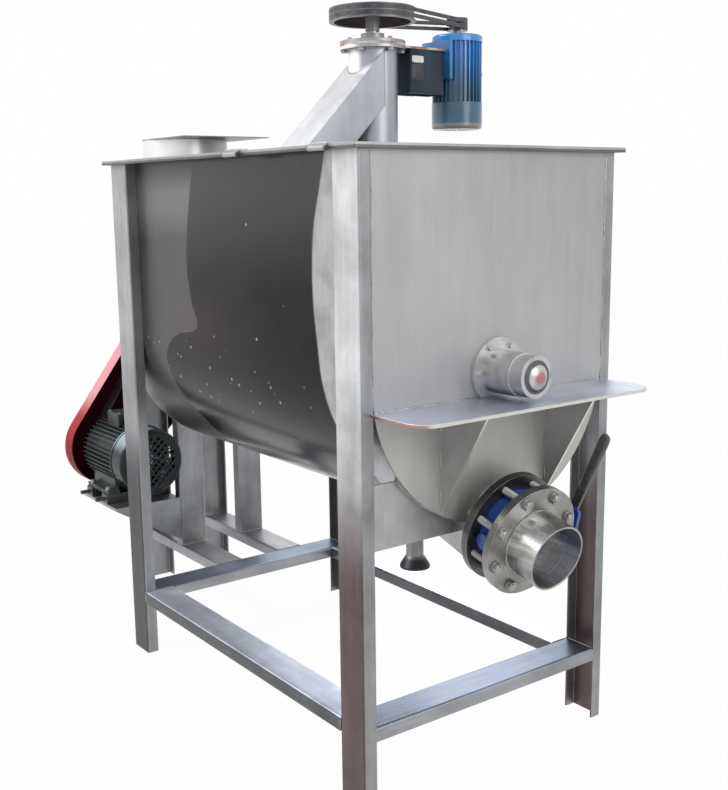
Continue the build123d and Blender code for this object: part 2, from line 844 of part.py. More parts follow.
# Wafer valve body: ring, neck with head plate on +Y, foot boss on -Y
valve_start = neck_end + gasket_gap
valve_middle = valve_start + valve_width / 2
valve_end = valve_start + valve_width
valve_center = outlet_plane(valve_middle).origin
stem_axis_plane = Plane(origin=valve_center, x_dir=outlet_direction, z_dir=(0, 1, 0))
with BuildPart() as valve_body:
    with BuildSketch(outlet_plane(valve_start)):
        Circle(valve_outer_radius)
    extrude(amount=valve_width)
    with BuildSketch(stem_axis_plane.offset(-valve_foot_offset)):
        Circle(valve_neck_radius)
    extrude(amount=valve_foot_offset + valve_head_offset)
    with BuildSketch(stem_axis_plane.offset(valve_head_offset)) as head_sketch:
        Rectangle(valve_head_radius * 2 - valve_head_thickness, valve_head_radius * 2)
        fillet(head_sketch.vertices(), valve_head_thickness)
    extrude(amount=-valve_head_thickness)
    with BuildSketch(outlet_plane(valve_start)):
        Circle(valve_bore_radius)
    extrude(amount=valve_width, mode=Mode.SUBTRACT)
    with BuildSketch(stem_axis_plane.offset(-valve_outer_radius)):
        Circle(stem_radius + running_gap)
    extrude(amount=valve_outer_radius + valve_head_offset + overrun, mode=Mode.SUBTRACT)
save(valve_body.part, "valve_body")

# Valve disc with its stem
disc_radius = valve_bore_radius - disc_gap
stem_bottom = valve_outer_radius - loose_gap
stem_top = valve_head_offset + lever_thickness + loose_gap
with BuildPart() as valve_disc:
    with BuildSketch(outlet_plane(valve_middle - disc_thickness / 2)):
        Circle(disc_radius)
    extrude(amount=disc_thickness)
    with BuildSketch(stem_axis_plane.offset(-stem_bottom)):
        Circle(stem_radius)
    extrude(amount=stem_bottom + stem_top)
save(valve_disc.part, "valve_disc")

# Lever: hub plate on the stem, cranked bar and rounded grip
lever_plane = stem_axis_plane.offset(valve_head_offset + gasket_gap)
lever_angle = lever_forward - 90
with BuildPart() as valve_lever:
    with BuildSketch(lever_plane):
        Circle(lever_hub_radius)
        with Locations(Rotation(0, 0, lever_angle)):
            Rectangle(lever_length, lever_width, align=(Align.MIN, Align.CENTER))
        Circle(stem_radius + seat_gap, mode=Mode.SUBTRACT)
    extrude(amount=lever_thickness)
    fillet(valve_lever.edges().filter_by(Axis.Y).sort_by_distance(valve_center)[-2:], lever_grip_radius)
save(valve_lever.part, "valve_lever")

# Outlet spigot with its flange
spigot_start = valve_end + gasket_gap
with BuildPart() as outlet_spigot:
    with BuildSketch(outlet_plane(spigot_start)):
        Circle(flange_radius)
        with PolarLocations(flange_bolt_circle, flange_bolts, start_angle=180 / flange_bolts):
            Circle(flange_hole_radius, mode=Mode.SUBTRACT)
    extrude(amount=flange_thickness)
    with BuildSketch(outlet_plane(spigot_start + flange_thickness)):
        Circle(pipe_radius)
    extrude(amount=spigot_length)
    with BuildSketch(outlet_plane(spigot_start)):
        Circle(pipe_radius - pipe_wall)
    extrude(amount=spigot_length + flange_thickness, mode=Mode.SUBTRACT)
save(outlet_spigot.part, "outlet_spigot")

# Eight studs with a nut at each end
stud_start = neck_length - nut_thickness - stud_spare
stud_end = spigot_start + flange_thickness + nut_thickness + stud_spare
with BuildPart() as flange_studs:
    for start, end, radius in (
        (stud_start, stud_end, 0),
        (neck_length - nut_thickness, neck_length, nut_radius),
        (spigot_start + flange_thickness, spigot_start + flange_thickness + nut_thickness, nut_radius),
    ):
        with BuildSketch(outlet_plane(start)):
            with PolarLocations(flange_bolt_circle, flange_bolts, start_angle=180 / flange_bolts):
                if radius:
                    RegularPolygon(radius, 6)
                else:
                    Circle(stud_radius)
        extrude(amount=end - start)
save(flange_studs.part, "flange_studs")

# Saddle: plate between the near front leg and the collecting box, cut to the trough
saddle_width = trough_radius - sump_half_width - seat_gap
with BuildPart() as saddles:
    with BuildSketch(cross_plane(front_face_x - saddle_inset - saddle_thickness)):
        with Locations((-trough_radius, saddle_bottom - shaft_height)):
            Rectangle(saddle_width, saddle_height, align=(Align.MIN, Align.MIN))
        Circle(trough_radius + seat_gap, mode=Mode.SUBTRACT)
    extrude(amount=saddle_thickness)
save(saddles.part, "saddles")

# Drain pipe with a flared foot
drain_axis = Axis((drain_x, 0, 0), (0, 0, 1))
with BuildPart() as drain_pipe:
    with BuildSketch(Plane(origin=(drain_x, 0, 0), x_dir=(1, 0, 0), z_dir=(0, -1, 0))):
        with BuildLine():
            Polyline(
                (drain_radius - drain_wall, drain_foot_end),
                (drain_foot_radius, drain_foot_end),
                (drain_foot_radius, drain_foot_end + drain_wall * 2),
                (drain_radius, drain_end),
                (drain_radius, trough_bottom),
                (drain_radius - drain_wall, trough_bottom),
                close=True,
            )
        make_face()
    revolve(axis=drain_axis)
save(drain_pipe.part, "drain_pipe")

# Gear reducer: two case halves in one casting outline, joint flange, base and shaft bosses
reducer_back_x = reducer_x - reducer_width / 2
reducer_front_x = reducer_x + reducer_width / 2
base_bottom = -reducer_height


def case_outline(output_radius, input_radius):
    """Rounded case around the output and input shafts."""
    with BuildSketch(mode=Mode.PRIVATE) as shape:
        Circle(output_radius)
        with Locations((input_offset, 0)):
            Circle(input_radius)
        make_hull()
    return shape.sketch


with BuildPart() as reducer_case:
    with BuildSketch(cross_plane(reducer_back_x)):
        add(case_outline(output_case_radius, input_case_radius))
        with Locations((-output_case_radius, base_bottom)):
            Rectangle(
                output_case_radius + input_offset + input_case_radius,
                reducer_height,
                align=(Align.MIN, Align.MIN),
            )
    extrude(amount=reducer_width)
    base_start_x = reducer_x - reducer_base_width / 2
    base_left = -output_case_radius - reducer_joint_rim
    base_span = output_case_radius + input_offset + input_case_radius + 2 * reducer_joint_rim
    for low, high, start_x, length in (
        (base_bottom, base_bottom + reducer_base_thickness, base_start_x, reducer_base_width),
        (
            -reducer_joint_height / 2,
            reducer_joint_height / 2,
            reducer_back_x - reducer_joint_rim,
            reducer_width + 2 * reducer_joint_rim,
        ),
    ):
        with BuildSketch(cross_plane(start_x)):
            with Locations((base_left, low)):
                Rectangle(base_span, high - low, align=(Align.MIN, Align.MIN))
        extrude(amount=length)
    for boss_y, boss_radius in ((0, output_boss_radius), (input_offset, input_boss_radius)):
        with BuildSketch(cross_plane(reducer_back_x - reducer_boss_length)):
            with Locations((boss_y, 0)):
                Circle(boss_radius)
        extrude(amount=reducer_width + 2 * reducer_boss_length)
    with BuildSketch(cross_plane(reducer_front_x + reducer_boss_length + overrun)):
        Circle(output_shaft_radius + running_gap)
    extrude(amount=-(reducer_shaft_depth + overrun), mode=Mode.SUBTRACT)
    with BuildSketch(cross_plane(reducer_back_x - reducer_boss_length - overrun)):
        with Locations((input_offset, 0)):
            Circle(input_shaft_radius + running_gap)
    extrude(amount=reducer_shaft_depth + overrun, mode=Mode.SUBTRACT)
save(reducer_case.part, "reducer_case")

# Reducer output shaft and the chain coupling that joins it to the main shaft
output_start_x = reducer_front_x + reducer_boss_length - reducer_shaft_depth + loose_gap
output_end_x = coupling_mid_x - coupling_gap / 2
with BuildPart() as output_shaft:
    with BuildSketch(cross_plane(output_start_x)):
        Circle(output_shaft_radius)
    extrude(amount=output_end_x - output_start_x)
save(output_shaft.part, "output_shaft")

with BuildPart() as chain_coupling:
    with BuildSketch(cross_plane(coupling_mid_x - coupling_length)):
        Circle(coupling_radius)
    extrude(amount=2 * coupling_length)
    with BuildSketch(cross_plane(coupling_mid_x - coupling_chain)):
        Circle(coupling_chain_radius)
    extrude(amount=2 * coupling_chain)
    with BuildSketch(cross_plane(coupling_mid_x - coupling_length)):
        Circle(output_shaft_radius)
    extrude(amount=coupling_length, mode=Mode.SUBTRACT)
    with BuildSketch(cross_plane(coupling_mid_x)):
        Circle(journal_radius)
    extrude(amount=coupling_length, mode=Mode.SUBTRACT)
save(chain_coupling.part, "chain_coupling")

# Drive motor, its axis along X with the fan towards the trough
motor_center = Vector(0, motor_y, motor_height)
motor_body_front_x = motor_cowl_x - motor_cowl_length
motor_body_back_x = motor_body_front_x - motor_body_length
motor_face_x = motor_body_back_x - motor_shield_length


def motor_plane(x):
    """Plane square to the drive motor's shaft at x."""
    return Plane(origin=(x, motor_y, motor_height), x_dir=(0, 1, 0), z_dir=(1, 0, 0))


def finned_outline(core_radius, fin_radius, count, thickness):
    """Round core with straight radial fins."""
    Circle(core_radius)
    with PolarLocations((core_radius + fin_radius - thickness) / 2, count):
        Rectangle(fin_radius - core_radius + thickness, thickness)


with BuildPart() as motor_body:
    with BuildSketch(motor_plane(motor_body_back_x)):
        finned_outline(motor_core_radius, motor_fin_radius, motor_fins, motor_fin_thickness)
    extrude(amount=motor_body_length)
    with BuildSketch(motor_plane(motor_face_x)):
        Circle(motor_shield_radius)
    extrude(amount=motor_shield_length)
    for side in (-1, 1):
        with BuildSketch(Plane.XY.offset(motor_height - motor_foot_height)):
            with Locations(
                (
                    (motor_body_front_x + motor_body_back_x) / 2,
                    motor_y + side * motor_foot_spread / 2,
                )
            ):
                Rectangle(motor_foot_length, motor_foot_width)
        extrude(amount=motor_foot_thickness)
        with BuildSketch(Plane.XY.offset(motor_height - motor_foot_height)):
            with Locations(
                (
                    (motor_body_front_x + motor_body_back_x) / 2,
                    motor_y + side * (motor_foot_spread / 2 - motor_foot_width / 4),
                )
            ):
                Rectangle(motor_foot_length, motor_foot_thickness)
        extrude(amount=motor_foot_height / 2)
    with BuildSketch(motor_plane(motor_face_x - overrun)):
        Circle(motor_shaft_radius + running_gap)
    extrude(amount=motor_body_length + motor_shield_length + 2 * overrun, mode=Mode.SUBTRACT)
save(motor_body.part, "motor_body")

# Fan cowl with a square mesh in its end
cowl_axis = Axis((0, motor_y, motor_height), (1, 0, 0))
cowl_lip = motor_cowl_radius / 4
mesh_reach = motor_cowl_radius - cowl_lip
mesh_steps = int(mesh_reach / mesh_pitch)
mesh_turned = mesh_pitch / sqrt(2)
mesh_spots = [
    ((column - row) * mesh_turned, (column + row) * mesh_turned)
    for column in range(-mesh_steps, mesh_steps + 1)
    for row in range(-mesh_steps, mesh_steps + 1)
    if (column**2 + row**2) * mesh_pitch**2 < mesh_reach**2
]
with BuildPart() as fan_cowl:
    with BuildSketch(motor_plane(motor_body_front_x + seat_gap)):
        Circle(motor_cowl_radius)
    extrude(amount=motor_cowl_length - seat_gap)
    fillet(fan_cowl.faces().sort_by(Axis.X)[-1].edges(), cowl_lip / 2)
    offset(amount=-motor_cowl_wall, openings=fan_cowl.faces().sort_by(Axis.X)[0])
    with BuildSketch(motor_plane(motor_cowl_x - motor_cowl_wall - overrun)):
        with Locations(*mesh_spots):
            Rectangle(mesh_hole, mesh_hole, rotation=45)
    extrude(amount=motor_cowl_wall + 2 * overrun, mode=Mode.SUBTRACT)
save(fan_cowl.part, "fan_cowl")

# Motor rotor: through shaft with the fan under the cowl
fan_start_x = motor_body_front_x + overrun
with BuildPart() as motor_rotor:
    with BuildSketch(motor_plane(motor_face_x - motor_shaft_out)):
        Circle(motor_shaft_radius)
    extrude(amount=fan_start_x + fan_width - motor_face_x + motor_shaft_out)
    with BuildSketch(motor_plane(fan_start_x)):
        Circle(fan_hub_radius)
        with PolarLocations((fan_hub_radius + fan_radius) / 2, fan_blades):
            Rectangle(fan_radius - fan_hub_radius + overrun, fan_blade_thickness)
    extrude(amount=fan_width)
save(motor_rotor.part, "motor_rotor")

# Terminal box on top of the motor
box_bottom = motor_height + sqrt(motor_fin_radius**2 - (terminal_box_size / 2) ** 2)
with BuildPart() as terminal_box:
    with BuildSketch(Plane.XY.offset(box_bottom)) as box_sketch:
        with Locations(((motor_body_front_x + motor_body_back_x) / 2, motor_y)):
            Rectangle(terminal_box_size, terminal_box_size)
        fillet(box_sketch.vertices(), channel_bend)
    extrude(amount=terminal_box_height)
    fillet(terminal_box.faces().sort_by(Axis.Z)[-1].edges(), channel_bend / 2)
    with BuildSketch(motor_plane(motor_body_back_x)):
        Circle(motor_fin_radius + seat_gap)
    extrude(amount=motor_body_length, mode=Mode.SUBTRACT)
save(terminal_box.part, "terminal_box")

# Motor shelf bolted to the left posts, with two brackets under it
rail_top = motor_height - motor_foot_height
shelf_top = rail_top - slide_rail_height
post_side_y = beam_left_y - channel_web / 2
shelf_back_x = far_post_x
shelf_front_x = near_post_x
with BuildPart() as motor_shelf:
    with BuildSketch(Plane.XY.offset(shelf_top - motor_shelf_thickness)):
        with Locations(((shelf_back_x + shelf_front_x) / 2, (post_side_y - motor_shelf_left) / 2)):
            Rectangle(shelf_front_x - shelf_back_x, post_side_y + motor_shelf_left)
    extrude(amount=motor_shelf_thickness)
    for x in (shelf_back_x, shelf_front_x - bracket_thickness):
        with BuildSketch(Plane(origin=(x, 0, 0), x_dir=(0, 1, 0), z_dir=(1, 0, 0))):
            with BuildLine():
                Polyline(
                    (post_side_y, shelf_top - motor_shelf_thickness),
                    (-motor_shelf_left, shelf_top - motor_shelf_thickness),
                    (post_side_y, shelf_top - motor_shelf_thickness - bracket_drop),
                    close=True,
                )
            make_face()
        extrude(amount=bracket_thickness)
save(motor_shelf.part, "motor_shelf")

# Slide rails with their tension bolts
with BuildPart() as slide_rails:
    for x in (
        (motor_body_front_x + motor_body_back_x) / 2 - motor_foot_length / 2 + slide_rail_width / 2,
        (motor_body_front_x + motor_body_back_x) / 2 + motor_foot_length / 2 - slide_rail_width / 2,
    ):
        with BuildSketch(Plane(origin=(x, -motor_shelf_left, shelf_top), x_dir=(1, 0, 0), z_dir=(0, 1, 0))):
            Rectangle(slide_rail_width, slide_rail_height, align=(Align.CENTER, Align.MAX))
            with Locations((0, -slide_rail_height + slide_rail_wall)):
                Rectangle(
                    slide_rail_width - 4 * slide_rail_wall,
                    slide_rail_height,
                    align=(Align.CENTER, Align.MIN),
                    mode=Mode.SUBTRACT,
                )
        extrude(amount=slide_rail_length - overrun)
        with BuildSketch(Plane(origin=(x, -motor_shelf_left, shelf_top), x_dir=(1, 0, 0), z_dir=(0, 1, 0))):
            Rectangle(slide_rail_width, slide_rail_height, align=(Align.CENTER, Align.MAX))
        extrude(amount=slide_rail_wall * 2)
        with BuildSketch(
            Plane(
                origin=(x, -motor_shelf_left - slide_bolt_out, shelf_top + slide_rail_height / 2),
                x_dir=(1, 0, 0),
                z_dir=(0, 1, 0),
            )
        ):
            Circle(slide_bolt_radius)
        extrude(amount=slide_bolt_out)
save(slide_rails.part, "slide_rails")


def belt_wheel(plane, outer_radius, bore_radius, width, count, pitch, top_width, bottom_width, depth):
    """Grooved wheel cut for V belts, its first face on the plane."""
    side = Plane(origin=plane.origin, x_dir=plane.x_dir, z_dir=-plane.y_dir)
    spin = Axis(plane.origin, plane.z_dir)
    with BuildPart() as wheel:
        with BuildSketch(plane):
            Circle(outer_radius)
            Circle(bore_radius, mode=Mode.SUBTRACT)
        extrude(amount=width)
        for index in range(count):
            middle = width / 2 + (index - (count - 1) / 2) * pitch
            with BuildSketch(side):
                with BuildLine():
                    Polyline(
                        (outer_radius + overrun, middle - top_width / 2 - belt_gap),
                        (outer_radius, middle - top_width / 2 - belt_gap),
                        (outer_radius - depth - belt_gap * 4, middle - bottom_width / 2 - belt_gap),
                        (outer_radius - depth - belt_gap * 4, middle + bottom_width / 2 + belt_gap),
                        (outer_radius, middle + top_width / 2 + belt_gap),
                        (outer_radius + overrun, middle + top_width / 2 + belt_gap),
                        close=True,
                    )
                make_face()
            revolve(axis=spin, mode=Mode.SUBTRACT)
    return wheel


def v_belt(plane, far_distance, near_radius, far_radius, middle, top_width, bottom_width, depth):
    """One closed belt around wheels at the plane's origin and at far_distance along its X axis."""
    lean = asin((far_radius - near_radius) / far_distance)
    up = (-sin(lean), cos(lean))
    down = (-sin(lean), -cos(lean))
    near_up = (near_radius * up[0], near_radius * up[1])
    near_down = (near_radius * down[0], near_radius * down[1])
    far_up = (far_distance + far_radius * up[0], far_radius * up[1])
    far_down = (far_distance + far_radius * down[0], far_radius * down[1])
    level = plane.offset(middle)
    start = level.from_local_coords(near_up)
    ahead = level.from_local_coords(far_up)
    outward = level.from_local_coords((near_up[0] + up[0], near_up[1] + up[1])) - start
    with BuildPart() as belt:
        with BuildLine(level):
            Line(near_up, far_up)
            ThreePointArc(far_up, (far_distance + far_radius, 0), far_down)
            Line(far_down, near_down)
            ThreePointArc(near_down, (-near_radius, 0), near_up)
        with BuildSketch(Plane(origin=start, x_dir=outward, z_dir=ahead - start)):
            with BuildLine():
                Polyline(
                    (0, -top_width / 2),
                    (0, top_width / 2),
                    (-depth, bottom_width / 2),
                    (-depth, -bottom_width / 2),
                    close=True,
                )
            make_face()
        sweep()
    return belt.part


# Back belt drive in a plane behind the far posts
back_wheel_x = motor_face_x - motor_shaft_out + loose_gap
back_reach = Vector(0, input_offset - motor_y, shaft_height - motor_height)
back_distance = back_reach.length
back_line = back_reach.normalized()
back_belt_plane = Plane(
    origin=(back_wheel_x, motor_y, motor_height), x_dir=back_line, z_dir=(1, 0, 0)
)
back_groove = (belt_count, belt_pitch, belt_top_width, belt_bottom_width, belt_depth)
motor_wheel = belt_wheel(
    motor_plane(back_wheel_x), motor_wheel_radius, motor_shaft_radius, back_wheel_width, *back_groove
)
save(motor_wheel.part, "motor_wheel")

driven_plane = Plane(origin=(back_wheel_x, input_offset, shaft_height), x_dir=(0, 1, 0), z_dir=(1, 0, 0))
driven_blank = belt_wheel(
    driven_plane, driven_wheel_radius, input_shaft_radius, back_wheel_width, *back_groove
)
with BuildPart() as driven_wheel:
    add(driven_blank.part)
    recess_depth = (back_wheel_width - wheel_web) / 2
    for start, length in ((0, recess_depth), (back_wheel_width, -recess_depth)):
        with BuildSketch(driven_plane.offset(start)):
            Circle(driven_wheel_radius - belt_depth - wheel_rim)
            Circle(wheel_hub_radius, mode=Mode.SUBTRACT)
        extrude(amount=length, mode=Mode.SUBTRACT)
    with BuildSketch(driven_plane):
        with PolarLocations((driven_wheel_radius + wheel_hub_radius) / 2 - wheel_rim / 2, 4):
            Circle(wheel_hub_radius * wheel_hole_share)
    extrude(amount=back_wheel_width, mode=Mode.SUBTRACT)
save(driven_wheel.part, "driven_wheel")

back_belts = [
    v_belt(
        back_belt_plane,
        back_distance,
        motor_wheel_radius,
        driven_wheel_radius,
        back_wheel_width / 2 + (index - (belt_count - 1) / 2) * belt_pitch,
        belt_top_width,
        belt_bottom_width,
        belt_depth,
    )
    for index in range(belt_count)
]
save(Compound(children=back_belts), "drive_belts")

# Reducer input shaft, from inside the case to the driven wheel
input_start_x = back_wheel_x - loose_gap
input_end_x = reducer_back_x - reducer_boss_length + reducer_shaft_depth - loose_gap
with BuildPart() as input_shaft:
    with BuildSketch(Plane(origin=(input_start_x, input_offset, shaft_height), x_dir=(0, 1, 0), z_dir=(1, 0, 0))):
        Circle(input_shaft_radius)
    extrude(amount=input_end_x - input_start_x)
save(input_shaft.part, "input_shaft")

# Belt guard: a pan around both wheels, open towards the trough, seated on the far posts
guard_back_x = back_wheel_x - guard_margin - guard_wall
guard_depth = far_post_x - guard_back_x
guard_plane = Plane(origin=(guard_back_x, motor_y, motor_height), x_dir=back_line, z_dir=(1, 0, 0))


def guard_outline(shrink):
    """Teardrop around the small and the large wheel."""
    with BuildSketch(mode=Mode.PRIVATE) as shape:
        Circle(guard_lower_radius - shrink)
        with Locations((back_distance, 0)):
            Circle(guard_upper_radius - shrink)
        make_hull()
    return shape.sketch


with BuildPart() as belt_guard:
    with BuildSketch(guard_plane):
        add(guard_outline(0))
    extrude(amount=guard_depth)
    with BuildSketch(guard_plane.offset(guard_wall)):
        add(guard_outline(guard_wall))
    extrude(amount=guard_depth, mode=Mode.SUBTRACT)
save(belt_guard.part, "belt_guard")

# Lifting tube with its top flange and chute window
tube_axis = Axis((tube_x, 0, 0), (0, 0, 1))


def chute_prism(inset):
    """Side outline of the sloping chute, taken in by inset on its sloping faces."""
    drop = inset * sqrt(2)
    with BuildSketch() as outline:
        with BuildLine():
            Polyline(
                (0, cover_top + chute_top_rise - drop),
                (-chute_top_rise + drop, cover_top),
                (-chute_low_rise - drop, cover_top),
                (0, cover_top + chute_low_rise + drop),
                close=True,
            )
        make_face()
    return outline.sketch


def chute_plane(x):
    """Plane along the chute's side at x."""
    return Plane(origin=(x, 0, 0), x_dir=(0, 1, 0), z_dir=(1, 0, 0))


with BuildPart() as lift_tube:
    with BuildSketch(Plane.XY.offset(tube_bottom)):
        with Locations((tube_x, 0)):
            Circle(tube_radius)
    extrude(amount=tube_flange_bottom + tube_flange_thickness - tube_bottom)
    with BuildSketch(Plane.XY.offset(tube_flange_bottom)):
        with Locations((tube_x, 0)):
            Circle(tube_flange_radius)
    extrude(amount=tube_flange_thickness)
    with BuildSketch(Plane.XY.offset(tube_bottom)):
        with Locations((tube_x, 0)):
            Circle(tube_radius - tube_wall)
    extrude(amount=tube_flange_bottom + tube_flange_thickness - tube_bottom, mode=Mode.SUBTRACT)
    with BuildSketch(chute_plane(tube_x - chute_width / 2 + chute_wall * 3)):
        add(chute_prism(chute_wall))
    extrude(amount=chute_width - 6 * chute_wall, mode=Mode.SUBTRACT)
save(lift_tube.part, "lift_tube")

with BuildPart() as chute:
    with BuildSketch(chute_plane(tube_x - chute_width / 2)):
        add(chute_prism(0))
    extrude(amount=chute_width)
    with BuildSketch(chute_plane(tube_x - chute_width / 2 + chute_wall)):
        add(chute_prism(chute_wall))
    extrude(amount=chute_width - 2 * chute_wall, mode=Mode.SUBTRACT)
    with BuildSketch(Plane.XY.offset(tube_bottom)):
        with Locations((tube_x, 0)):
            Circle(tube_radius + seat_gap)
    extrude(amount=top_wheel_bottom - tube_bottom, mode=Mode.SUBTRACT)
save(chute.part.solids().sort_by(SortBy.VOLUME)[-1], "chute")

# Bracket plate between the flanges, with a box that carries the vertical motor
plate_bottom = tube_flange_bottom + tube_flange_thickness
plate_top = plate_bottom + bracket_plate_thickness
with BuildPart() as motor_bracket:
    with BuildSketch(Plane.XY.offset(plate_bottom)):
        with Locations((tube_x, 0)):
            Circle(tube_flange_radius)
            Rectangle(2 * bracket_box_half, top_motor_foot_y, align=(Align.CENTER, Align.MIN))
            Circle(tube_radius - tube_wall, mode=Mode.SUBTRACT)
    extrude(amount=bracket_plate_thickness)
    with BuildSketch(Plane.XY.offset(bracket_box_bottom)):
        with Locations((tube_x, bracket_box_near_y + tube_flange_radius / 5)):
            Rectangle(
                2 * bracket_box_half,
                bracket_box_step_y - bracket_box_near_y,
                align=(Align.CENTER, Align.MIN),
            )
        with Locations((tube_x, bracket_box_step_y)):
            Rectangle(
                2 * (bracket_box_half - bracket_box_inset),
                top_motor_foot_y - bracket_box_step_y,
                align=(Align.CENTER, Align.MIN),
            )
        with Locations((tube_x, bracket_box_near_y + tube_flange_radius / 5 + bracket_box_wall)):
            Rectangle(
                2 * (bracket_box_half - bracket_box_inset - bracket_box_wall),
                top_motor_foot_y - bracket_box_near_y - tube_flange_radius / 5 - 2 * bracket_box_wall,
                align=(Align.CENTER, Align.MIN),
                mode=Mode.SUBTRACT,
            )
    extrude(amount=plate_bottom - bracket_box_bottom)
save(motor_bracket.part, "motor_bracket")

# Top bearing of the screw
bearing_base_top = plate_top + tube_flange_thickness
with BuildPart() as top_bearing:
    with BuildSketch(Plane.XY.offset(plate_top)):
        with Locations((tube_x, 0)):
            Circle(tube_flange_radius)
    extrude(amount=tube_flange_thickness)
    with BuildSketch(Plane.XY.offset(bearing_base_top)):
        with Locations((tube_x, 0)):
            Circle(top_bearing_radius)
    extrude(amount=top_bearing_height)
    with BuildSketch(Plane.XY.offset(bearing_base_top)):
        with Locations((tube_x, 0)):
            with PolarLocations(tube_flange_radius - bearing_bolt_radius * 2, bearing_bolts):
                RegularPolygon(bearing_bolt_radius, 6)
    extrude(amount=bearing_bolt_radius)
    with BuildSketch(Plane.XY.offset(plate_top)):
        with Locations((tube_x, 0)):
            Circle(screw_journal_radius + running_gap)
    extrude(amount=tube_flange_thickness + top_bearing_height, mode=Mode.SUBTRACT)
save(top_bearing.part, "top_bearing")

# Lifting screw: shaft with a helical flight
screw_bottom = tube_bottom + overrun
flight_height = screw_pitch * screw_turns
with BuildPart() as lift_screw:
    with BuildSketch(Plane.XY.offset(screw_bottom)):
        with Locations((tube_x, 0)):
            Circle(screw_shaft_radius)
    extrude(amount=plate_bottom - loose_gap - screw_bottom)
    with BuildSketch(Plane.XY.offset(screw_bottom)):
        with Locations((tube_x, 0)):
            Circle(screw_journal_radius)
    extrude(amount=top_wheel_bottom + top_wheel_width - screw_bottom)
    flight_middle = (screw_shaft_radius + screw_flight_radius - overrun) / 2
    with BuildLine() as screw_path:
        Helix(
            pitch=screw_pitch,
            height=flight_height,
            radius=flight_middle,
            center=(tube_x, 0, screw_bottom + screw_flight_thickness),
        )
    flight_start = screw_path.line @ 0
    with BuildSketch(Plane(origin=flight_start, x_dir=(1, 0, 0), z_dir=screw_path.line % 0)):
        Rectangle(screw_flight_radius - screw_shaft_radius + overrun, screw_flight_thickness)
    sweep(is_frenet=True)
save(lift_screw.part, "lift_screw")

# Top belt wheels and belts
top_groove = (top_belt_count, top_belt_pitch, top_belt_top_width, top_belt_bottom_width, top_belt_depth)
screw_wheel_plane = Plane(origin=(tube_x, 0, top_wheel_bottom), x_dir=(0, 1, 0), z_dir=(0, 0, 1))
screw_wheel_blank = belt_wheel(
    screw_wheel_plane, top_wheel_radius, screw_journal_radius, top_wheel_width, *top_groove
)
with BuildPart() as screw_wheel:
    add(screw_wheel_blank.part)
    with BuildSketch(screw_wheel_plane):
        Circle(top_wheel_radius - top_belt_depth - wheel_rim / 2)
        Circle(screw_shaft_radius, mode=Mode.SUBTRACT)
    extrude(amount=top_wheel_width - wheel_web / 2, mode=Mode.SUBTRACT)
    with BuildSketch(screw_wheel_plane):
        Circle(screw_shaft_radius)
        Circle(screw_journal_radius, mode=Mode.SUBTRACT)
    extrude(amount=-top_wheel_hub_drop)
save(screw_wheel.part, "screw_wheel")

small_wheel_plane = Plane(
    origin=(tube_x, top_motor_y, top_wheel_bottom), x_dir=(0, 1, 0), z_dir=(0, 0, 1)
)
small_wheel = belt_wheel(
    small_wheel_plane, small_wheel_radius, top_motor_shaft_radius, top_wheel_width, *top_groove
)
save(small_wheel.part, "small_wheel")

top_belt_plane = Plane(
    origin=(tube_x, top_motor_y, top_wheel_bottom), x_dir=(0, -1, 0), z_dir=(0, 0, 1)
)
top_belts = [
    v_belt(
        top_belt_plane,
        top_motor_y,
        small_wheel_radius,
        top_wheel_radius,
        top_wheel_width / 2 + (index - (top_belt_count - 1) / 2) * top_belt_pitch,
        top_belt_top_width,
        top_belt_bottom_width,
        top_belt_depth,
    )
    for index in range(top_belt_count)
]
save(Compound(children=top_belts), "screw_belts")

# Vertical motor
top_motor_bottom = top_motor_top - top_motor_length


def top_motor_plane(z):
    """Plane square to the vertical motor's shaft at height z."""
    return Plane(origin=(tube_x, top_motor_y, z), x_dir=(1, 0, 0), z_dir=(0, 0, 1))


with BuildPart() as top_motor_body:
    with BuildSketch(top_motor_plane(top_motor_bottom + top_motor_cowl_length)):
        finned_outline(
            top_motor_core_radius, top_motor_radius - loose_gap, top_motor_fins, motor_fin_thickness
        )
    extrude(amount=top_motor_length - top_motor_cowl_length - top_motor_shield_length)
    with BuildSketch(top_motor_plane(top_motor_top - top_motor_shield_length)):
        Circle(top_motor_radius)
    extrude(amount=top_motor_shield_length)
    fillet(top_motor_body.faces().sort_by(Axis.Z)[-1].edges(), top_motor_shield_length / 3)
    foot_middle = top_motor_top - top_motor_shield_length - top_motor_foot_length / 2
    foot_bottom = foot_middle - top_motor_foot_length / 2
    with BuildSketch(Plane.XY.offset(foot_bottom)):
        with Locations((tube_x, top_motor_foot_y + gasket_gap)):
            Rectangle(
                top_motor_foot_width, top_motor_foot_thickness, align=(Align.CENTER, Align.MIN)
            )
            Rectangle(
                top_motor_foot_width * foot_neck_share,
                top_motor_y - top_motor_foot_y - top_motor_core_radius / 2,
                align=(Align.CENTER, Align.MIN),
            )
    extrude(amount=top_motor_foot_length)
    with BuildSketch(top_motor_plane(top_motor_bottom)):
        Circle(top_motor_shaft_radius + running_gap)
    extrude(amount=top_motor_length, mode=Mode.SUBTRACT)

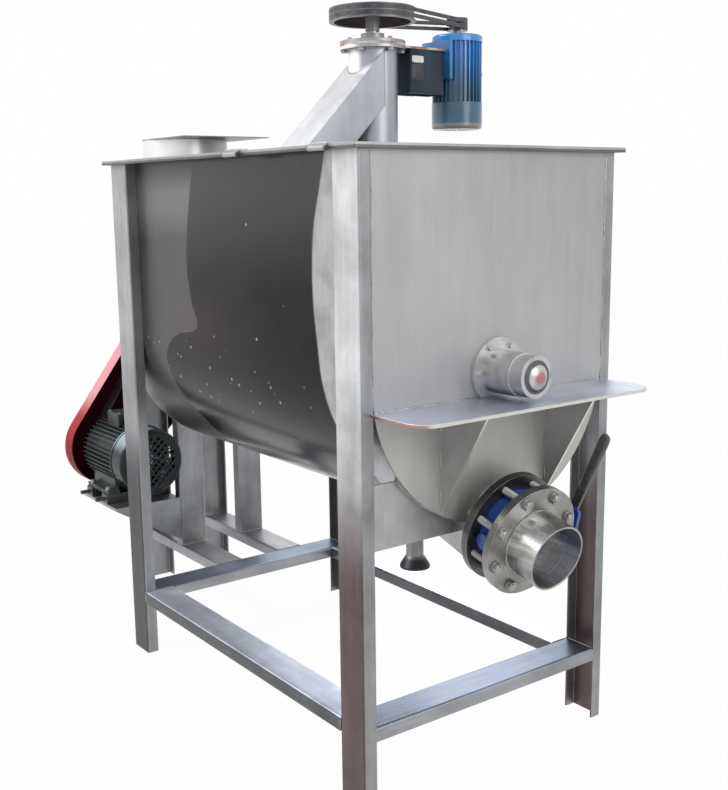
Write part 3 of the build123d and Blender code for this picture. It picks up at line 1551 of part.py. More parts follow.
with BuildPart() as top_motor_cowl:
    with BuildSketch(top_motor_plane(top_motor_bottom)):
        Circle(top_motor_radius)
    extrude(amount=top_motor_cowl_length - seat_gap)
    fillet(top_motor_cowl.faces().sort_by(Axis.Z)[0].edges(), top_motor_shield_length / 2)
    offset(amount=-motor_cowl_wall, openings=top_motor_cowl.faces().sort_by(Axis.Z)[-1])
    with BuildSketch(top_motor_plane(top_motor_bottom - overrun)):
        for ring_radius in (top_motor_radius * share for share in grille_ring_shares):
            with PolarLocations(ring_radius, grille_slots):
                Rectangle(top_motor_radius * grille_slot_share, motor_fin_thickness * 2)
    extrude(amount=motor_cowl_wall + 2 * overrun, mode=Mode.SUBTRACT)
save(Compound(children=[top_motor_body.part, top_motor_cowl.part]), "top_motor_body")

with BuildPart() as top_motor_rotor:
    with BuildSketch(top_motor_plane(top_motor_bottom + top_motor_cowl_length / 2)):
        Circle(top_motor_shaft_radius)
    extrude(amount=top_wheel_bottom + top_wheel_width - top_motor_bottom - top_motor_cowl_length / 2)
    with BuildSketch(top_motor_plane(top_motor_bottom + top_motor_cowl_length / 2)):
        Circle(top_motor_radius * top_fan_hub_share)
        with PolarLocations(top_motor_radius * top_fan_blade_share, fan_blades):
            Rectangle(top_motor_radius * top_fan_blade_share, fan_blade_thickness)
    extrude(amount=top_motor_cowl_length / 3)
save(top_motor_rotor.part, "top_motor_rotor")
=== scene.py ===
import math
import bmesh
import bpy
import numpy as np
from mathutils import Matrix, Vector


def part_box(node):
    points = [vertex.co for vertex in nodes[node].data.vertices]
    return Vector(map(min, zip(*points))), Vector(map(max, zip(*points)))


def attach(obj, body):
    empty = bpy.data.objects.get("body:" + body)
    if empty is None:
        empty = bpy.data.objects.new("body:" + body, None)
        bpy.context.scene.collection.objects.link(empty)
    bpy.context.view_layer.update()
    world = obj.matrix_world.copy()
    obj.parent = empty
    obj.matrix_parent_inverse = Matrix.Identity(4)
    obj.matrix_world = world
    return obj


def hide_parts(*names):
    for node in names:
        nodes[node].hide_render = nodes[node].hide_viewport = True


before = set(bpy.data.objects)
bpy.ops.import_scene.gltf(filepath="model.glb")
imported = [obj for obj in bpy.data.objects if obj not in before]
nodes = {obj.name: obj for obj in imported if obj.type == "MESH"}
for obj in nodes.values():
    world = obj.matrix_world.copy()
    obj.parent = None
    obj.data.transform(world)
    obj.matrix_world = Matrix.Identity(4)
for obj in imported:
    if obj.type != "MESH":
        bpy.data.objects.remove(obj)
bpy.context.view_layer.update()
print("frame loaded,", len(nodes), "nodes")

# where the main parts stand, read from the frame
frontX = float(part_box("end_plate_front")[1].x)
backX = float(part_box("end_plate_back")[0].x)
tubeX = float(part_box("lift_tube")[0].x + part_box("lift_tube")[1].x) / 2
coverTop = float(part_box("cover_front")[1].z)
troughR = float(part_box("trough_shell")[1].y)
shaftZ = 1.036  # height of the mixing shaft


def newMaterial(name, metallic=0.0, roughness=0.5, sockets=None):
    # one Principled shader; values that are the same all over are set on its own sockets
    material = bpy.data.materials.new(name)
    material.use_nodes = True
    tree = material.node_tree
    tree.nodes.clear()
    output = tree.nodes.new("ShaderNodeOutputMaterial")
    shader = tree.nodes.new("ShaderNodeBsdfPrincipled")
    shader.inputs["Metallic"].default_value = metallic
    shader.inputs["Roughness"].default_value = roughness
    for key, value in (sockets or {}).items():
        shader.inputs[key].default_value = value
    tree.links.new(shader.outputs[0], output.inputs[0])
    return material, tree, shader


def objectPlace(tree, scale=(1, 1, 1), turn=(0, 0, 0), move=(0, 0, 0)):
    # Object coordinates, stretched and turned by a Mapping node
    coords = tree.nodes.new("ShaderNodeTexCoord")
    mapping = tree.nodes.new("ShaderNodeMapping")
    mapping.inputs["Location"].default_value = move
    mapping.inputs["Rotation"].default_value = turn
    mapping.inputs["Scale"].default_value = scale
    tree.links.new(coords.outputs["Object"], mapping.inputs["Vector"])
    return mapping.outputs["Vector"]


def noise(tree, vector, scale=1.0, detail=3.0, roughness=0.55, distortion=0.0):
    node = tree.nodes.new("ShaderNodeTexNoise")
    node.inputs["Scale"].default_value = scale
    node.inputs["Detail"].default_value = detail
    node.inputs["Roughness"].default_value = roughness
    node.inputs["Distortion"].default_value = distortion
    tree.links.new(vector, node.inputs["Vector"])
    return node.outputs["Fac"]


def ramp(tree, factor, stops):
    # stops: (place, grey or rgb)
    node = tree.nodes.new("ShaderNodeValToRGB")
    elements = node.color_ramp.elements
    while len(elements) < len(stops):
        elements.new(0.5)
    for element, (place, tone) in zip(elements, stops):
        element.position = place
        element.color = (*tone, 1) if isinstance(tone, tuple) else (tone, tone, tone, 1)
    tree.links.new(factor, node.inputs["Fac"])
    return node.outputs["Color"]


def mix(tree, factor, first, second, mode="MIX"):
    node = tree.nodes.new("ShaderNodeMix")
    node.data_type = "RGBA"
    node.blend_type = mode
    for socket, value in (("Factor", factor), ("A", first), ("B", second)):
        target = [s for s in node.inputs if s.name == socket and s.enabled][0]
        if isinstance(value, bpy.types.NodeSocket):
            tree.links.new(value, target)
        elif isinstance(value, tuple):
            target.default_value = (*value, 1)
        else:
            target.default_value = value
    return [s for s in node.outputs if s.enabled][0]


def feed(tree, node, values):
    # each value goes to the node's next input: a socket is linked, a number or vector is set
    for index, value in enumerate(values):
        if isinstance(value, bpy.types.NodeSocket):
            tree.links.new(value, node.inputs[index])
        else:
            node.inputs[index].default_value = value


def maths(tree, operation, first, second=0.0, clamp=False):
    node = tree.nodes.new("ShaderNodeMath")
    node.operation = operation
    node.use_clamp = clamp
    feed(tree, node, (first, second))
    return node.outputs[0]


def times(tree, first, second):
    return maths(tree, "MULTIPLY", first, second)


def plus(tree, first, second, clamp=False):
    return maths(tree, "ADD", first, second, clamp)


def minus(tree, first, second):
    return maths(tree, "SUBTRACT", first, second)


def reachOf(tree, first, second):
    # square root of first squared plus second squared
    return maths(tree, "SQRT", plus(tree, times(tree, first, first), times(tree, second, second)))


def vectorMaths(tree, operation, output, *values):
    node = tree.nodes.new("ShaderNodeVectorMath")
    node.operation = operation
    feed(tree, node, values)
    return node.outputs[output]


def between(tree, value, low, high, toLow=0.0, toHigh=1.0):
    # smooth step from toLow at low to toHigh at high
    node = tree.nodes.new("ShaderNodeMapRange")
    node.interpolation_type = "SMOOTHSTEP"
    tree.links.new(value, node.inputs["Value"])
    for name, number in (("From Min", low), ("From Max", high), ("To Min", toLow), ("To Max", toHigh)):
        node.inputs[name].default_value = number
    return node.outputs["Result"]


def axes(tree, vector):
    node = tree.nodes.new("ShaderNodeSeparateXYZ")
    tree.links.new(vector, node.inputs[0])
    return node.outputs


def bump(tree, height, strength, distance, below=None):
    node = tree.nodes.new("ShaderNodeBump")
    node.inputs["Strength"].default_value = strength
    node.inputs["Distance"].default_value = distance
    tree.links.new(height, node.inputs["Height"])
    if below is not None:
        tree.links.new(below, node.inputs["Normal"])
    return node.outputs["Normal"]


def roundedNormal(tree, radius):
    node = tree.nodes.new("ShaderNodeBevel")
    node.samples = 4
    node.inputs["Radius"].default_value = radius
    return node.outputs["Normal"]


def facing(tree, way, low=0.5, high=0.8):
    # 1 on faces that look along the given direction, 0 past the low limit
    geometry = tree.nodes.new("ShaderNodeNewGeometry")
    return between(
        tree, vectorMaths(tree, "DOT_PRODUCT", "Value", geometry.outputs["Normal"], way), low, high
    )


def scaled(tree, factor, colour, tint):
    # the colour times a tint that may be over 1, mixed in by a factor
    return mix(tree, factor, colour, vectorMaths(tree, "MULTIPLY", "Vector", colour, tint))


def edgeMask(tree, normal):
    # 1 where the rounded normal leaves the face's own normal, 0 on flat faces
    geometry = tree.nodes.new("ShaderNodeNewGeometry")
    dot = vectorMaths(tree, "DOT_PRODUCT", "Value", normal, geometry.outputs["True Normal"])
    return between(tree, dot, 0.72, 0.99, 1.0, 0.0)


def shades(tint, low, high, start=0.3, end=0.72):
    # two ramp stops: the tint times low, and the tint times high
    return [(start, tuple(v * low for v in tint)), (end, tuple(v * high for v in tint))]


def steelFinish(name, look):
    # base colour: blotches, long streaks and lighter worn edges; roughness and bump: fine grain
    material, tree, shader = newMaterial(name, metallic=look.get("metal", 0.85))
    place = objectPlace(tree)
    blotch = noise(tree, place, look.get("blotch", 5.0), 5.0, 0.62, 0.4)
    colour = ramp(tree, blotch, shades(look["tint"], *look.get("spread", (0.8, 1.15))))
    streak = noise(tree, objectPlace(tree, look.get("streak", (30, 30, 2.5))), 1.0, 4.0, 0.6)
    colour = mix(
        tree, look.get("streakShare", 0.5), colour, ramp(tree, streak, [(0.32, 0.62), (0.7, 1.0)]), "MULTIPLY"
    )
    grain = noise(tree, objectPlace(tree, look["grain"]), 1.0, 2.0, 0.5)
    colour = mix(tree, 0.35, colour, ramp(tree, grain, [(0.3, 0.75), (0.7, 1.0)]), "MULTIPLY")
    normal = None
    edge = look.get("edge", 0.0012)
    if edge:
        normal = roundedNormal(tree, edge)
        worn = times(tree, edgeMask(tree, normal), look.get("wear", 0.6))
        colour = mix(tree, worn, colour, look.get("edgeTint", (0.62, 0.63, 0.65)))
    if "extra" in look:
        colour = look["extra"](tree, place, colour)
    tree.links.new(colour, shader.inputs["Base Color"])
    rough = look.get("rough", (0.28, 0.45))
    scuffs = mix(tree, 0.5, grain, blotch)
    tree.links.new(ramp(tree, scuffs, [(0.3, rough[0]), (0.7, rough[1])]), shader.inputs["Roughness"])
    tree.links.new(bump(tree, grain, look.get("bump", 0.25), 0.0002, normal), shader.inputs["Normal"])
    return material


shelfTones = {
    "underside": (0.9665, 0.9675),
    "plate": (1.68, 1.70, 1.76),
    "gusset": (0.62, 0.62, 0.58),
    "below": (1.28, 1.22, 1.1),
    "markY": (-0.350, -0.366),
    "markZ": (0.9735, 0.9725),
    "mark": (0.42, 0.2, 0.1),
    "markShare": 0.85,
}


def shelfSheenAndMark(tree, place, colour):
    # painted sheen: the plate's top and edge are painted pale blue; neutral gussets, a little lighter below
    # the plate, a brown patch at the near end
    x, y, z = axes(tree, place)
    low, high = shelfTones["underside"]
    colour = scaled(tree, between(tree, z, low, high), colour, shelfTones["plate"])
    colour = mix(tree, facing(tree, (1, 0, 0), 0.5, 0.9), colour, shelfTones["gusset"])
    colour = scaled(tree, between(tree, z, high, low), colour, shelfTones["below"])
    mark = times(tree, between(tree, y, *shelfTones["markY"]), between(tree, z, *shelfTones["markZ"]))
    return mix(tree, times(tree, mark, shelfTones["markShare"]), colour, shelfTones["mark"])


legTones = {
    "frontX": (0.6, 0.7),  # the two front legs stand past it
    "postsX": (-0.50, -0.46),  # the drive's posts stand before it and keep their own tone
    "upper": (0.55, 1.0),
    "lower": (0.84, 0.56),
    "backPaintedLight": (1.35, 1.35, 1.35),
    "frontPaintedLight": (2.1, 2.1, 2.08),
    "frontPaintedShade": (0.44, 0.32, 0.31),
    "backPaintedShade": (0.27, 0.27, 0.28),
}


def legPaintedLight(tree, place, colour):
    # painted light on the near faces: a painted highlight above, painted shade near the ground, tinted
    # reddish brown there on the front legs
    x, y, z = axes(tree, place)
    near = facing(tree, (0, -1, 0))
    front = between(tree, x, *legTones["frontX"])
    back = minus(tree, 1.0, front)
    high = times(tree, near, between(tree, z, *legTones["upper"]))
    low = times(tree, near, between(tree, z, *legTones["lower"]))
    low = times(tree, low, between(tree, x, *legTones["postsX"]))
    for level, leg, tint in (
        (high, back, "backPaintedLight"), (high, front, "frontPaintedLight"), (low, front, "frontPaintedShade"), (low, back, "backPaintedShade")
    ):
        colour = scaled(tree, times(tree, level, leg), colour, legTones[tint])
    return colour


railTones = {"top": (2.2, 2.3, 2.55), "side": (0.36, 0.36, 0.365), "crossTopPaintedLight": (0.58, 0.67, 0.83)}


def railPaintedLight(tree, place, colour):
    # painted light on the long rails: a bluish painted highlight on the tops, painted shade on the near sides
    colour = scaled(tree, facing(tree, (0, 0, 1)), colour, railTones["top"])
    return scaled(tree, facing(tree, (0, -1, 0)), colour, railTones["side"])


def crossPaintedLight(tree, place, colour):
    # painted light on the cross rails: tops painted a dull bluish tone
    return scaled(tree, facing(tree, (0, 0, 1)), colour, railTones["crossTopPaintedLight"])


# colours and masks of the painted highlights on the tube, chute and collar
glare = {
    "tube": (0.94, 0.94, 0.94),
    "tubeWay": (-0.62, -0.78, 0),
    "tubeZ": (1.66, 1.74, 0.0, 0.9),
    "chute": (1.75, 1.70, 1.62),
    "chuteWay": (0, -0.6, 0.8),
    "collar": (0.92, 0.92, 0.91),
    "collarWay": (0.2, -0.98, 0),
    "collarShare": 0.85,
}


def tubeGlare(tree, place, colour):
    # painted highlight: the tube's side away from the drive is painted white above the chute
    x, y, z = axes(tree, place)
    side = facing(tree, glare["tubeWay"], 0.35, 0.8)
    return mix(tree, times(tree, side, between(tree, z, *glare["tubeZ"])), colour, glare["tube"])


def chuteGlare(tree, place, colour):
    # painted highlight: the sloping top is painted lighter where it would catch the sky
    return scaled(tree, facing(tree, glare["chuteWay"], 0.55, 0.8), colour, glare["chute"])


def collarGlare(tree, place, colour):
    # painted highlight: the near half is painted white, the side turned away stays grey
    near = facing(tree, glare["collarWay"], 0.0, 0.8)
    return mix(tree, times(tree, near, glare["collarShare"]), colour, glare["collar"])


plateTones = {
    "lowZ": (0.98, 0.90),
    "low": (1.1, 1.08, 1.02),
    "highZ": (1.05, 1.55, 0.0, 0.55),
    "high": (0.86, 0.86, 0.88),
}


def plateTone(tree, place, colour):
    # upper part of the plate a little darker, pale band low down
    x, y, z = axes(tree, place)
    colour = scaled(tree, between(tree, z, *plateTones["lowZ"]), colour, plateTones["low"])
    return scaled(tree, between(tree, z, *plateTones["highZ"]), colour, plateTones["high"])


steelLooks = {
    "legSteel": {
        "tint": (0.34, 0.345, 0.355), "grain": (500, 500, 9), "streak": (40, 40, 3.0), "spread": (0.72, 1.28),
        "rough": (0.3, 0.5), "extra": legPaintedLight,
    },
    "railSteelX": {
        "tint": (0.36, 0.37, 0.39), "grain": (9, 500, 500), "streak": (3, 40, 40), "spread": (0.75, 1.25),
        "rough": (0.28, 0.46), "extra": railPaintedLight,
    },
    "beamSteel": {
        "tint": (0.36, 0.37, 0.39), "grain": (9, 500, 500), "streak": (3, 40, 40), "spread": (0.75, 1.25),
        "rough": (0.28, 0.46),
    },
    "railSteelY": {
        "tint": (0.37, 0.38, 0.40), "grain": (500, 9, 500), "streak": (40, 3, 40), "spread": (0.75, 1.25),
        "rough": (0.28, 0.46), "extra": crossPaintedLight,
    },
    "plateSteel": {
        "tint": (0.455, 0.455, 0.462), "grain": (420, 420, 12), "streak": (16, 16, 1.6), "streakShare": 0.25,
        "spread": (0.9, 1.08), "blotch": 2.2, "rough": (0.42, 0.58), "metal": 0.75, "bump": 0.15,
        "extra": plateTone,
    },
    "coverSteel": {
        "tint": (0.46, 0.465, 0.45), "grain": (10, 450, 450), "streak": (3, 22, 22), "streakShare": 0.35,
        "spread": (0.85, 1.12), "rough": (0.3, 0.48),
    },
    "rimSteel": {
        "tint": (0.165, 0.165, 0.17), "grain": (10, 450, 450), "streak": (3, 22, 22), "streakShare": 0.4,
        "spread": (0.75, 1.2), "rough": (0.3, 0.48),
    },
    "collarSteel": {
        "tint": (0.46, 0.465, 0.46), "grain": (300, 300, 10), "streak": (22, 22, 3), "streakShare": 0.3,
        "spread": (0.85, 1.12), "rough": (0.25, 0.4), "extra": collarGlare,
    },
    "chuteSteel": {
        "tint": (0.43, 0.45, 0.49), "grain": (450, 450, 12), "streak": (34, 34, 2.0), "streakShare": 0.3,
        "spread": (0.86, 1.12), "rough": (0.3, 0.46), "metal": 0.75, "extra": chuteGlare,
    },
    "shelfSteel": {
        "tint": (0.40, 0.42, 0.47), "grain": (450, 10, 450), "streak": (26, 3, 26), "streakShare": 0.35,
        "spread": (0.85, 1.14), "rough": (0.28, 0.45), "edgeTint": (0.75, 0.77, 0.8), "wear": 0.85,
        "extra": shelfSheenAndMark,
    },
    "tubeSteel": {
        "tint": (0.40, 0.415, 0.46), "grain": (450, 450, 12), "streak": (34, 34, 2.0), "streakShare": 0.35,
        "spread": (0.86, 1.12), "rough": (0.3, 0.46), "metal": 0.75, "extra": tubeGlare,
    },
    "sumpSteel": {
        "tint": (0.50, 0.505, 0.51), "grain": (450, 450, 12), "streak": (20, 20, 4.0), "spread": (0.8, 1.15),
        "rough": (0.35, 0.52),
    },
    "ribbonSteel": {
        "tint": (0.5, 0.51, 0.52), "grain": (60, 450, 450), "spread": (0.85, 1.12), "rough": (0.2, 0.36),
    },
    "shaftSteel": {
        "tint": (0.42, 0.42, 0.43), "grain": (700, 20, 20), "spread": (0.85, 1.1), "rough": (0.2, 0.34),
    },
    "studSteel": {
        "tint": (0.42, 0.42, 0.42), "grain": (300, 300, 300), "spread": (0.7, 1.2), "rough": (0.3, 0.5),
        "edge": 0,
    },
    "weldSteel": {
        "tint": (0.44, 0.43, 0.42), "grain": (260, 260, 260), "blotch": 24.0, "streak": (60, 60, 60),
        "spread": (0.65, 1.3), "rough": (0.3, 0.5), "edge": 0,
    },
}
steel = {name: steelFinish(name, look) for name, look in steelLooks.items()}


def curveOf(tree, value, points):
    node = tree.nodes.new("ShaderNodeFloatCurve")
    curve = node.mapping.curves[0]
    while len(curve.points) < len(points):
        curve.points.new(0.5, 0.5)
    for point, place in zip(curve.points, points):
        point.location = place
    node.mapping.update()
    tree.links.new(value, node.inputs["Value"])
    return node.outputs["Value"]


# polished trough with a painted reflection on its near side: a dark reflection field between two wavy
# borders, paler beyond them
polish = {
    "low": 0.80,  # height where the two border curves start
    "span": 0.78,
    "left": [
        (0.0, 0.23), (0.09, 0.185), (0.17, 0.157), (0.25, 0.146), (0.31, 0.176), (0.35, 0.235), (0.38, 0.33),
        (0.48, 0.307), (0.6, 0.291), (0.74, 0.30), (0.86, 0.32), (1.0, 0.35),
    ],
    "right": [
        (0.0, 0.99), (0.12, 0.945), (0.23, 0.918), (0.31, 0.902), (0.4, 0.89), (0.56, 0.877), (0.66, 0.876),
        (0.75, 0.884), (0.87, 0.908), (1.0, 0.935),
    ],
    "leftX": -0.35,  # border curves run over this stretch of X
    "spanX": 1.1,
    "border": (-0.003, 0.005),  # how softly a border fades
    "rimZ": (1.20, 1.50),  # the field pales towards the rim
    "footZ": (0.96, 0.84),  # and towards the foot
    "warmX": (0.03, 0.24),  # middle and half width of the warm patch
    "warmZ": (1.10, 0.14),
    "stripX": (-0.34, -0.43, 0.0, 0.85),
    "patchFrom": (1.33, 1.44),
    "patchTo": (1.55, 1.47, 0.0, 0.45),
    "brightX": (0.50, 0.56),
    "nearY": (-0.05, -0.15),
    "skin": (troughR - 0.003, troughR - 0.001),  # the outer face, told from the inner one
    "dropsTo": (1.09, 1.04),
    "dropsFrom": (0.86, 0.92),
    "dark": (0.018, 0.0175, 0.0195),
    "deep": (0.010, 0.0095, 0.011),
    "high": (0.066, 0.065, 0.070),
    "foot": (0.040, 0.041, 0.039),
    "warm": (0.036, 0.020, 0.022),
    "warmPale": (0.15, 0.10, 0.098),
    "pale": (0.096, 0.096, 0.094),
    "edge": (0.30, 0.30, 0.30),
    "bright": (0.50, 0.50, 0.505),
    "satin": [(0.3, (0.27, 0.27, 0.275)), (0.7, (0.37, 0.37, 0.375))],
    "drops": (0.6, 0.6, 0.6),
}


def fromMiddle(tree, value, span):
    # distance from the span's middle, counted in half widths
    middle, half = span
    return maths(tree, "DIVIDE", minus(tree, value, middle), half)


def troughWithPaintedReflection():
    coat = {"Coat Weight": 0.06, "Coat Roughness": 0.06}
    material, tree, shader = newMaterial("troughWithPaintedReflection", metallic=0.92, sockets=coat)
    place = objectPlace(tree)
    x, y, z = axes(tree, place)
    wobble = times(tree, minus(tree, noise(tree, place, 6.0, 2.0), 0.5), 0.008)
    height = maths(tree, "DIVIDE", minus(tree, z, polish["low"]), polish["span"], clamp=True)
    along = plus(tree, fromMiddle(tree, x, (polish["leftX"], polish["spanX"])), wobble)
    pastLeft = between(tree, minus(tree, along, curveOf(tree, height, polish["left"])), *polish["border"])
    pastRight = between(tree, minus(tree, curveOf(tree, height, polish["right"]), along), *polish["border"])
    field = times(tree, pastLeft, pastRight)
    cloud = noise(tree, place, 3.2, 4.0, 0.6, 0.8)
    # the dark field of painted reflection: paler towards the rim and below the shaft, with a faint warm patch
    # low on the left
    dark = ramp(tree, cloud, [(0.35, polish["deep"]), (0.7, polish["dark"])])
    dark = mix(tree, between(tree, z, *polish["rimZ"]), dark, polish["high"])
    foot = ramp(tree, cloud, [(0.3, polish["dark"]), (0.65, polish["foot"])])
    dark = mix(tree, between(tree, z, *polish["footZ"]), dark, foot)
    spot = reachOf(tree, fromMiddle(tree, x, polish["warmX"]), fromMiddle(tree, z, polish["warmZ"]))
    warmth = between(tree, spot, 1.0, 0.1, 0.0, 0.7)
    dark = mix(tree, warmth, dark, polish["warm"])
    # left of it: dull, with painted highlights as a bright strip at the corner and a lighter patch high up
    strip = between(tree, x, *polish["stripX"])
    patch = times(tree, between(tree, z, *polish["patchFrom"]), between(tree, z, *polish["patchTo"]))
    dull = plus(tree, plus(tree, strip, patch), times(tree, cloud, 0.12), clamp=True)
    pale = mix(tree, dull, polish["pale"], polish["edge"])
    pale = mix(tree, times(tree, warmth, 0.35), pale, polish["warmPale"])
    # right of it: a bright painted reflection, smudged
    smudge = ramp(tree, noise(tree, place, 11.0, 3.0), [(0.35, 0.45), (0.62, 1.0)])
    bright = mix(tree, 0.7, polish["bright"], smudge, "MULTIPLY")
    side = mix(tree, field, mix(tree, between(tree, x, *polish["brightX"]), pale, bright), dark)
    # the far side and the inside keep a plain satin finish
    below = maths(tree, "MINIMUM", minus(tree, z, shaftZ), 0.0)
    outside = between(tree, reachOf(tree, y, below), *polish["skin"])
    shown = times(tree, between(tree, y, *polish["nearY"]), outside)
    colour = mix(tree, shown, ramp(tree, cloud, polish["satin"]), side)
    streak = noise(tree, objectPlace(tree, (70, 70, 1.5)), 1.0, 3.0)
    colour = mix(tree, 0.3, colour, ramp(tree, streak, [(0.3, 0.72), (0.7, 1.0)]), "MULTIPLY")
    # small bright splashes, closest together in a band at shaft height and below
    cells = tree.nodes.new("ShaderNodeTexVoronoi")
    cells.inputs["Scale"].default_value = 30.0
    tree.links.new(place, cells.inputs["Vector"])
    band = times(tree, between(tree, z, *polish["dropsTo"]), between(tree, z, *polish["dropsFrom"]))
    band = times(tree, band, between(tree, noise(tree, place, 8.0, 2.0), 0.46, 0.54))
    sparse = plus(tree, between(tree, noise(tree, place, 6.0, 2.0), 0.60, 0.64), band, clamp=True)
    drops = times(tree, between(tree, cells.outputs["Distance"], 0.17, 0.08), sparse)
    colour = mix(tree, times(tree, drops, 0.6), colour, polish["drops"])
    tree.links.new(colour, shader.inputs["Base Color"])
    dullRough, fieldRough = (
        ramp(tree, cloud, stops) for stops in ([(0.3, 0.3), (0.7, 0.42)], [(0.3, 0.14), (0.7, 0.24)])
    )
    tree.links.new(mix(tree, field, dullRough, fieldRough), shader.inputs["Roughness"])
    grain = bump(tree, noise(tree, objectPlace(tree, (260, 260, 5)), 1.0, 2.0), 0.12, 0.0002)
    dents = bump(tree, noise(tree, place, 2.5, 2.0), 0.35, 0.004, grain)
    tree.links.new(dents, shader.inputs["Normal"])
    return material


steel["troughWithPaintedReflection"] = troughWithPaintedReflection()

# outlet line: its start on the end plate and its tilt
outlet = {
    "tilt": math.radians(14),
    "height": 0.663,
    "weld": 0.0845,  # ring of the weld round the pipe
    "neckEnd": 0.0375,  # distances along the line from the end plate
    "rearNut": 0.0379,
    "lever": 0.0863,
    "frontNut": 0.1347,
    "spigotEnd": 0.1352,
    "boltCircle": 0.120,
    "bolts": 8,
}
outletWay = np.array([math.cos(outlet["tilt"]), 0, -math.sin(outlet["tilt"])])
outletStart = np.array([frontX, 0, outlet["height"]])
outletUp = np.array([math.sin(outlet["tilt"]), 0, math.cos(outlet["tilt"])])


def turnedSteel(name, centre, turn, tint, rough, metal=0.9, edge=0.0012, extra=None):
    # grooves of a lathe cut: noise that only changes with the distance from the axis and along it
    material, tree, shader = newMaterial(name, metallic=metal, sockets={"Anisotropic": 0.4})
    place = objectPlace(tree, turn=turn, move=centre)
    x, y, z = axes(tree, place)
    radius = reachOf(tree, y, z)
    rings = tree.nodes.new("ShaderNodeCombineXYZ")
    tree.links.new(times(tree, radius, 700.0), rings.inputs[0])
    tree.links.new(times(tree, x, 500.0), rings.inputs[1])
    groove = noise(tree, rings.outputs[0], 1.0, 2.0)
    cloud = noise(tree, place, 14.0, 4.0, 0.6, 0.6)
    colour = ramp(tree, cloud, shades(tint, 0.72, 1.2, end=0.7))
    colour = mix(tree, 0.4, colour, ramp(tree, groove, [(0.3, 0.7), (0.7, 1.0)]), "MULTIPLY")
    # painted sheen: broad dark and bright sectors, as light shows them on a turned face
    angle = maths(tree, "ARCTAN2", z, y)
    sectorSheen = maths(tree, "ABSOLUTE", maths(tree, "SINE", times(tree, angle, 1.5)))
    colour = mix(tree, 0.45, colour, ramp(tree, sectorSheen, [(0.0, 0.55), (0.8, 1.0)]), "MULTIPLY")
    if extra:
        colour = extra(tree, x, y, z, radius, colour)
    normal = roundedNormal(tree, edge)
    colour = mix(tree, times(tree, edgeMask(tree, normal), 0.5), colour, (0.62, 0.62, 0.62))
    tree.links.new(colour, shader.inputs["Base Color"])
    tree.links.new(ramp(tree, groove, [(0.3, rough[0]), (0.7, rough[1])]), shader.inputs["Roughness"])
    tree.links.new(bump(tree, groove, 0.25, 0.0002, normal), shader.inputs["Normal"])
    return material


spigotTones = {
    "pipe": (0.0865, 0.0855),  # outer skin of the pipe
    "bore": (0.0832, 0.0826),
    "neckX": (0.075, 0.070),
    "neck": (0.5, 0.5, 0.5),
    "top": (0.93, 0.93, 0.92),
    "inside": (1.3, 1.3, 1.28),
}


def spigotToneAndHighlight(tree, x, y, z, radius, colour):
    # darker neck, a painted highlight as bright streaks along the spigot's top, a paler inside
    top = times(tree, facing(tree, (0, -0.78, 0.62), 0.55, 0.95), between(tree, radius, *spigotTones["pipe"]))
    colour = scaled(tree, between(tree, x, *spigotTones["neckX"]), colour, spigotTones["neck"])
    streak = between(tree, noise(tree, objectPlace(tree, (6, 90, 90)), 1.0, 3.0), 0.4, 0.6, 0.5, 1.0)
    colour = mix(tree, times(tree, top, streak), colour, spigotTones["top"])
    return scaled(tree, between(tree, radius, *spigotTones["bore"]), colour, spigotTones["inside"])


capTones = {
    "ringFrom": (0.029, 0.0305),
    "ringTo": (0.0415, 0.0405),
    "ring": (0.05, 0.055, 0.06),
    "middle": (0.024, 0.010, 0.0, 0.8),
    "warm": (0.40, 0.12, 0.13),
}


def capRingAndReflection(tree, x, y, z, radius, colour):
    # domed cap: a dark ring round it and a warm painted reflection in the middle
    front = facing(tree, (1, 0, 0), 0.2, 0.5)
    ring = times(
        tree, between(tree, radius, *capTones["ringFrom"]), between(tree, radius, *capTones["ringTo"])
    )
    colour = mix(tree, times(tree, times(tree, ring, front), 0.85), colour, capTones["ring"])
    return mix(tree, times(tree, between(tree, radius, *capTones["middle"]), front), colour, capTones["warm"])


def turnedPlace(turn, centre):
    # Mapping applies scale, turn, then move: the move that brings centre to zero after the turn
    c, s = math.cos(turn), math.sin(turn)
    x, y, z = centre
    return (-(c * x + s * z), -y, -(-s * x + c * z))


steel["flangeSteel"] = turnedSteel(
    "flangeSteel", turnedPlace(-outlet["tilt"], outletStart), (0, -outlet["tilt"], 0),
    (0.33, 0.325, 0.31), (0.22, 0.4), extra=spigotToneAndHighlight,
)
steel["bearingSteel"] = turnedSteel(
    "bearingSteel", (0, 0, -shaftZ), (0, 0, 0), (0.60, 0.60, 0.61), (0.26, 0.42), 0.85, extra=capRingAndReflection
)


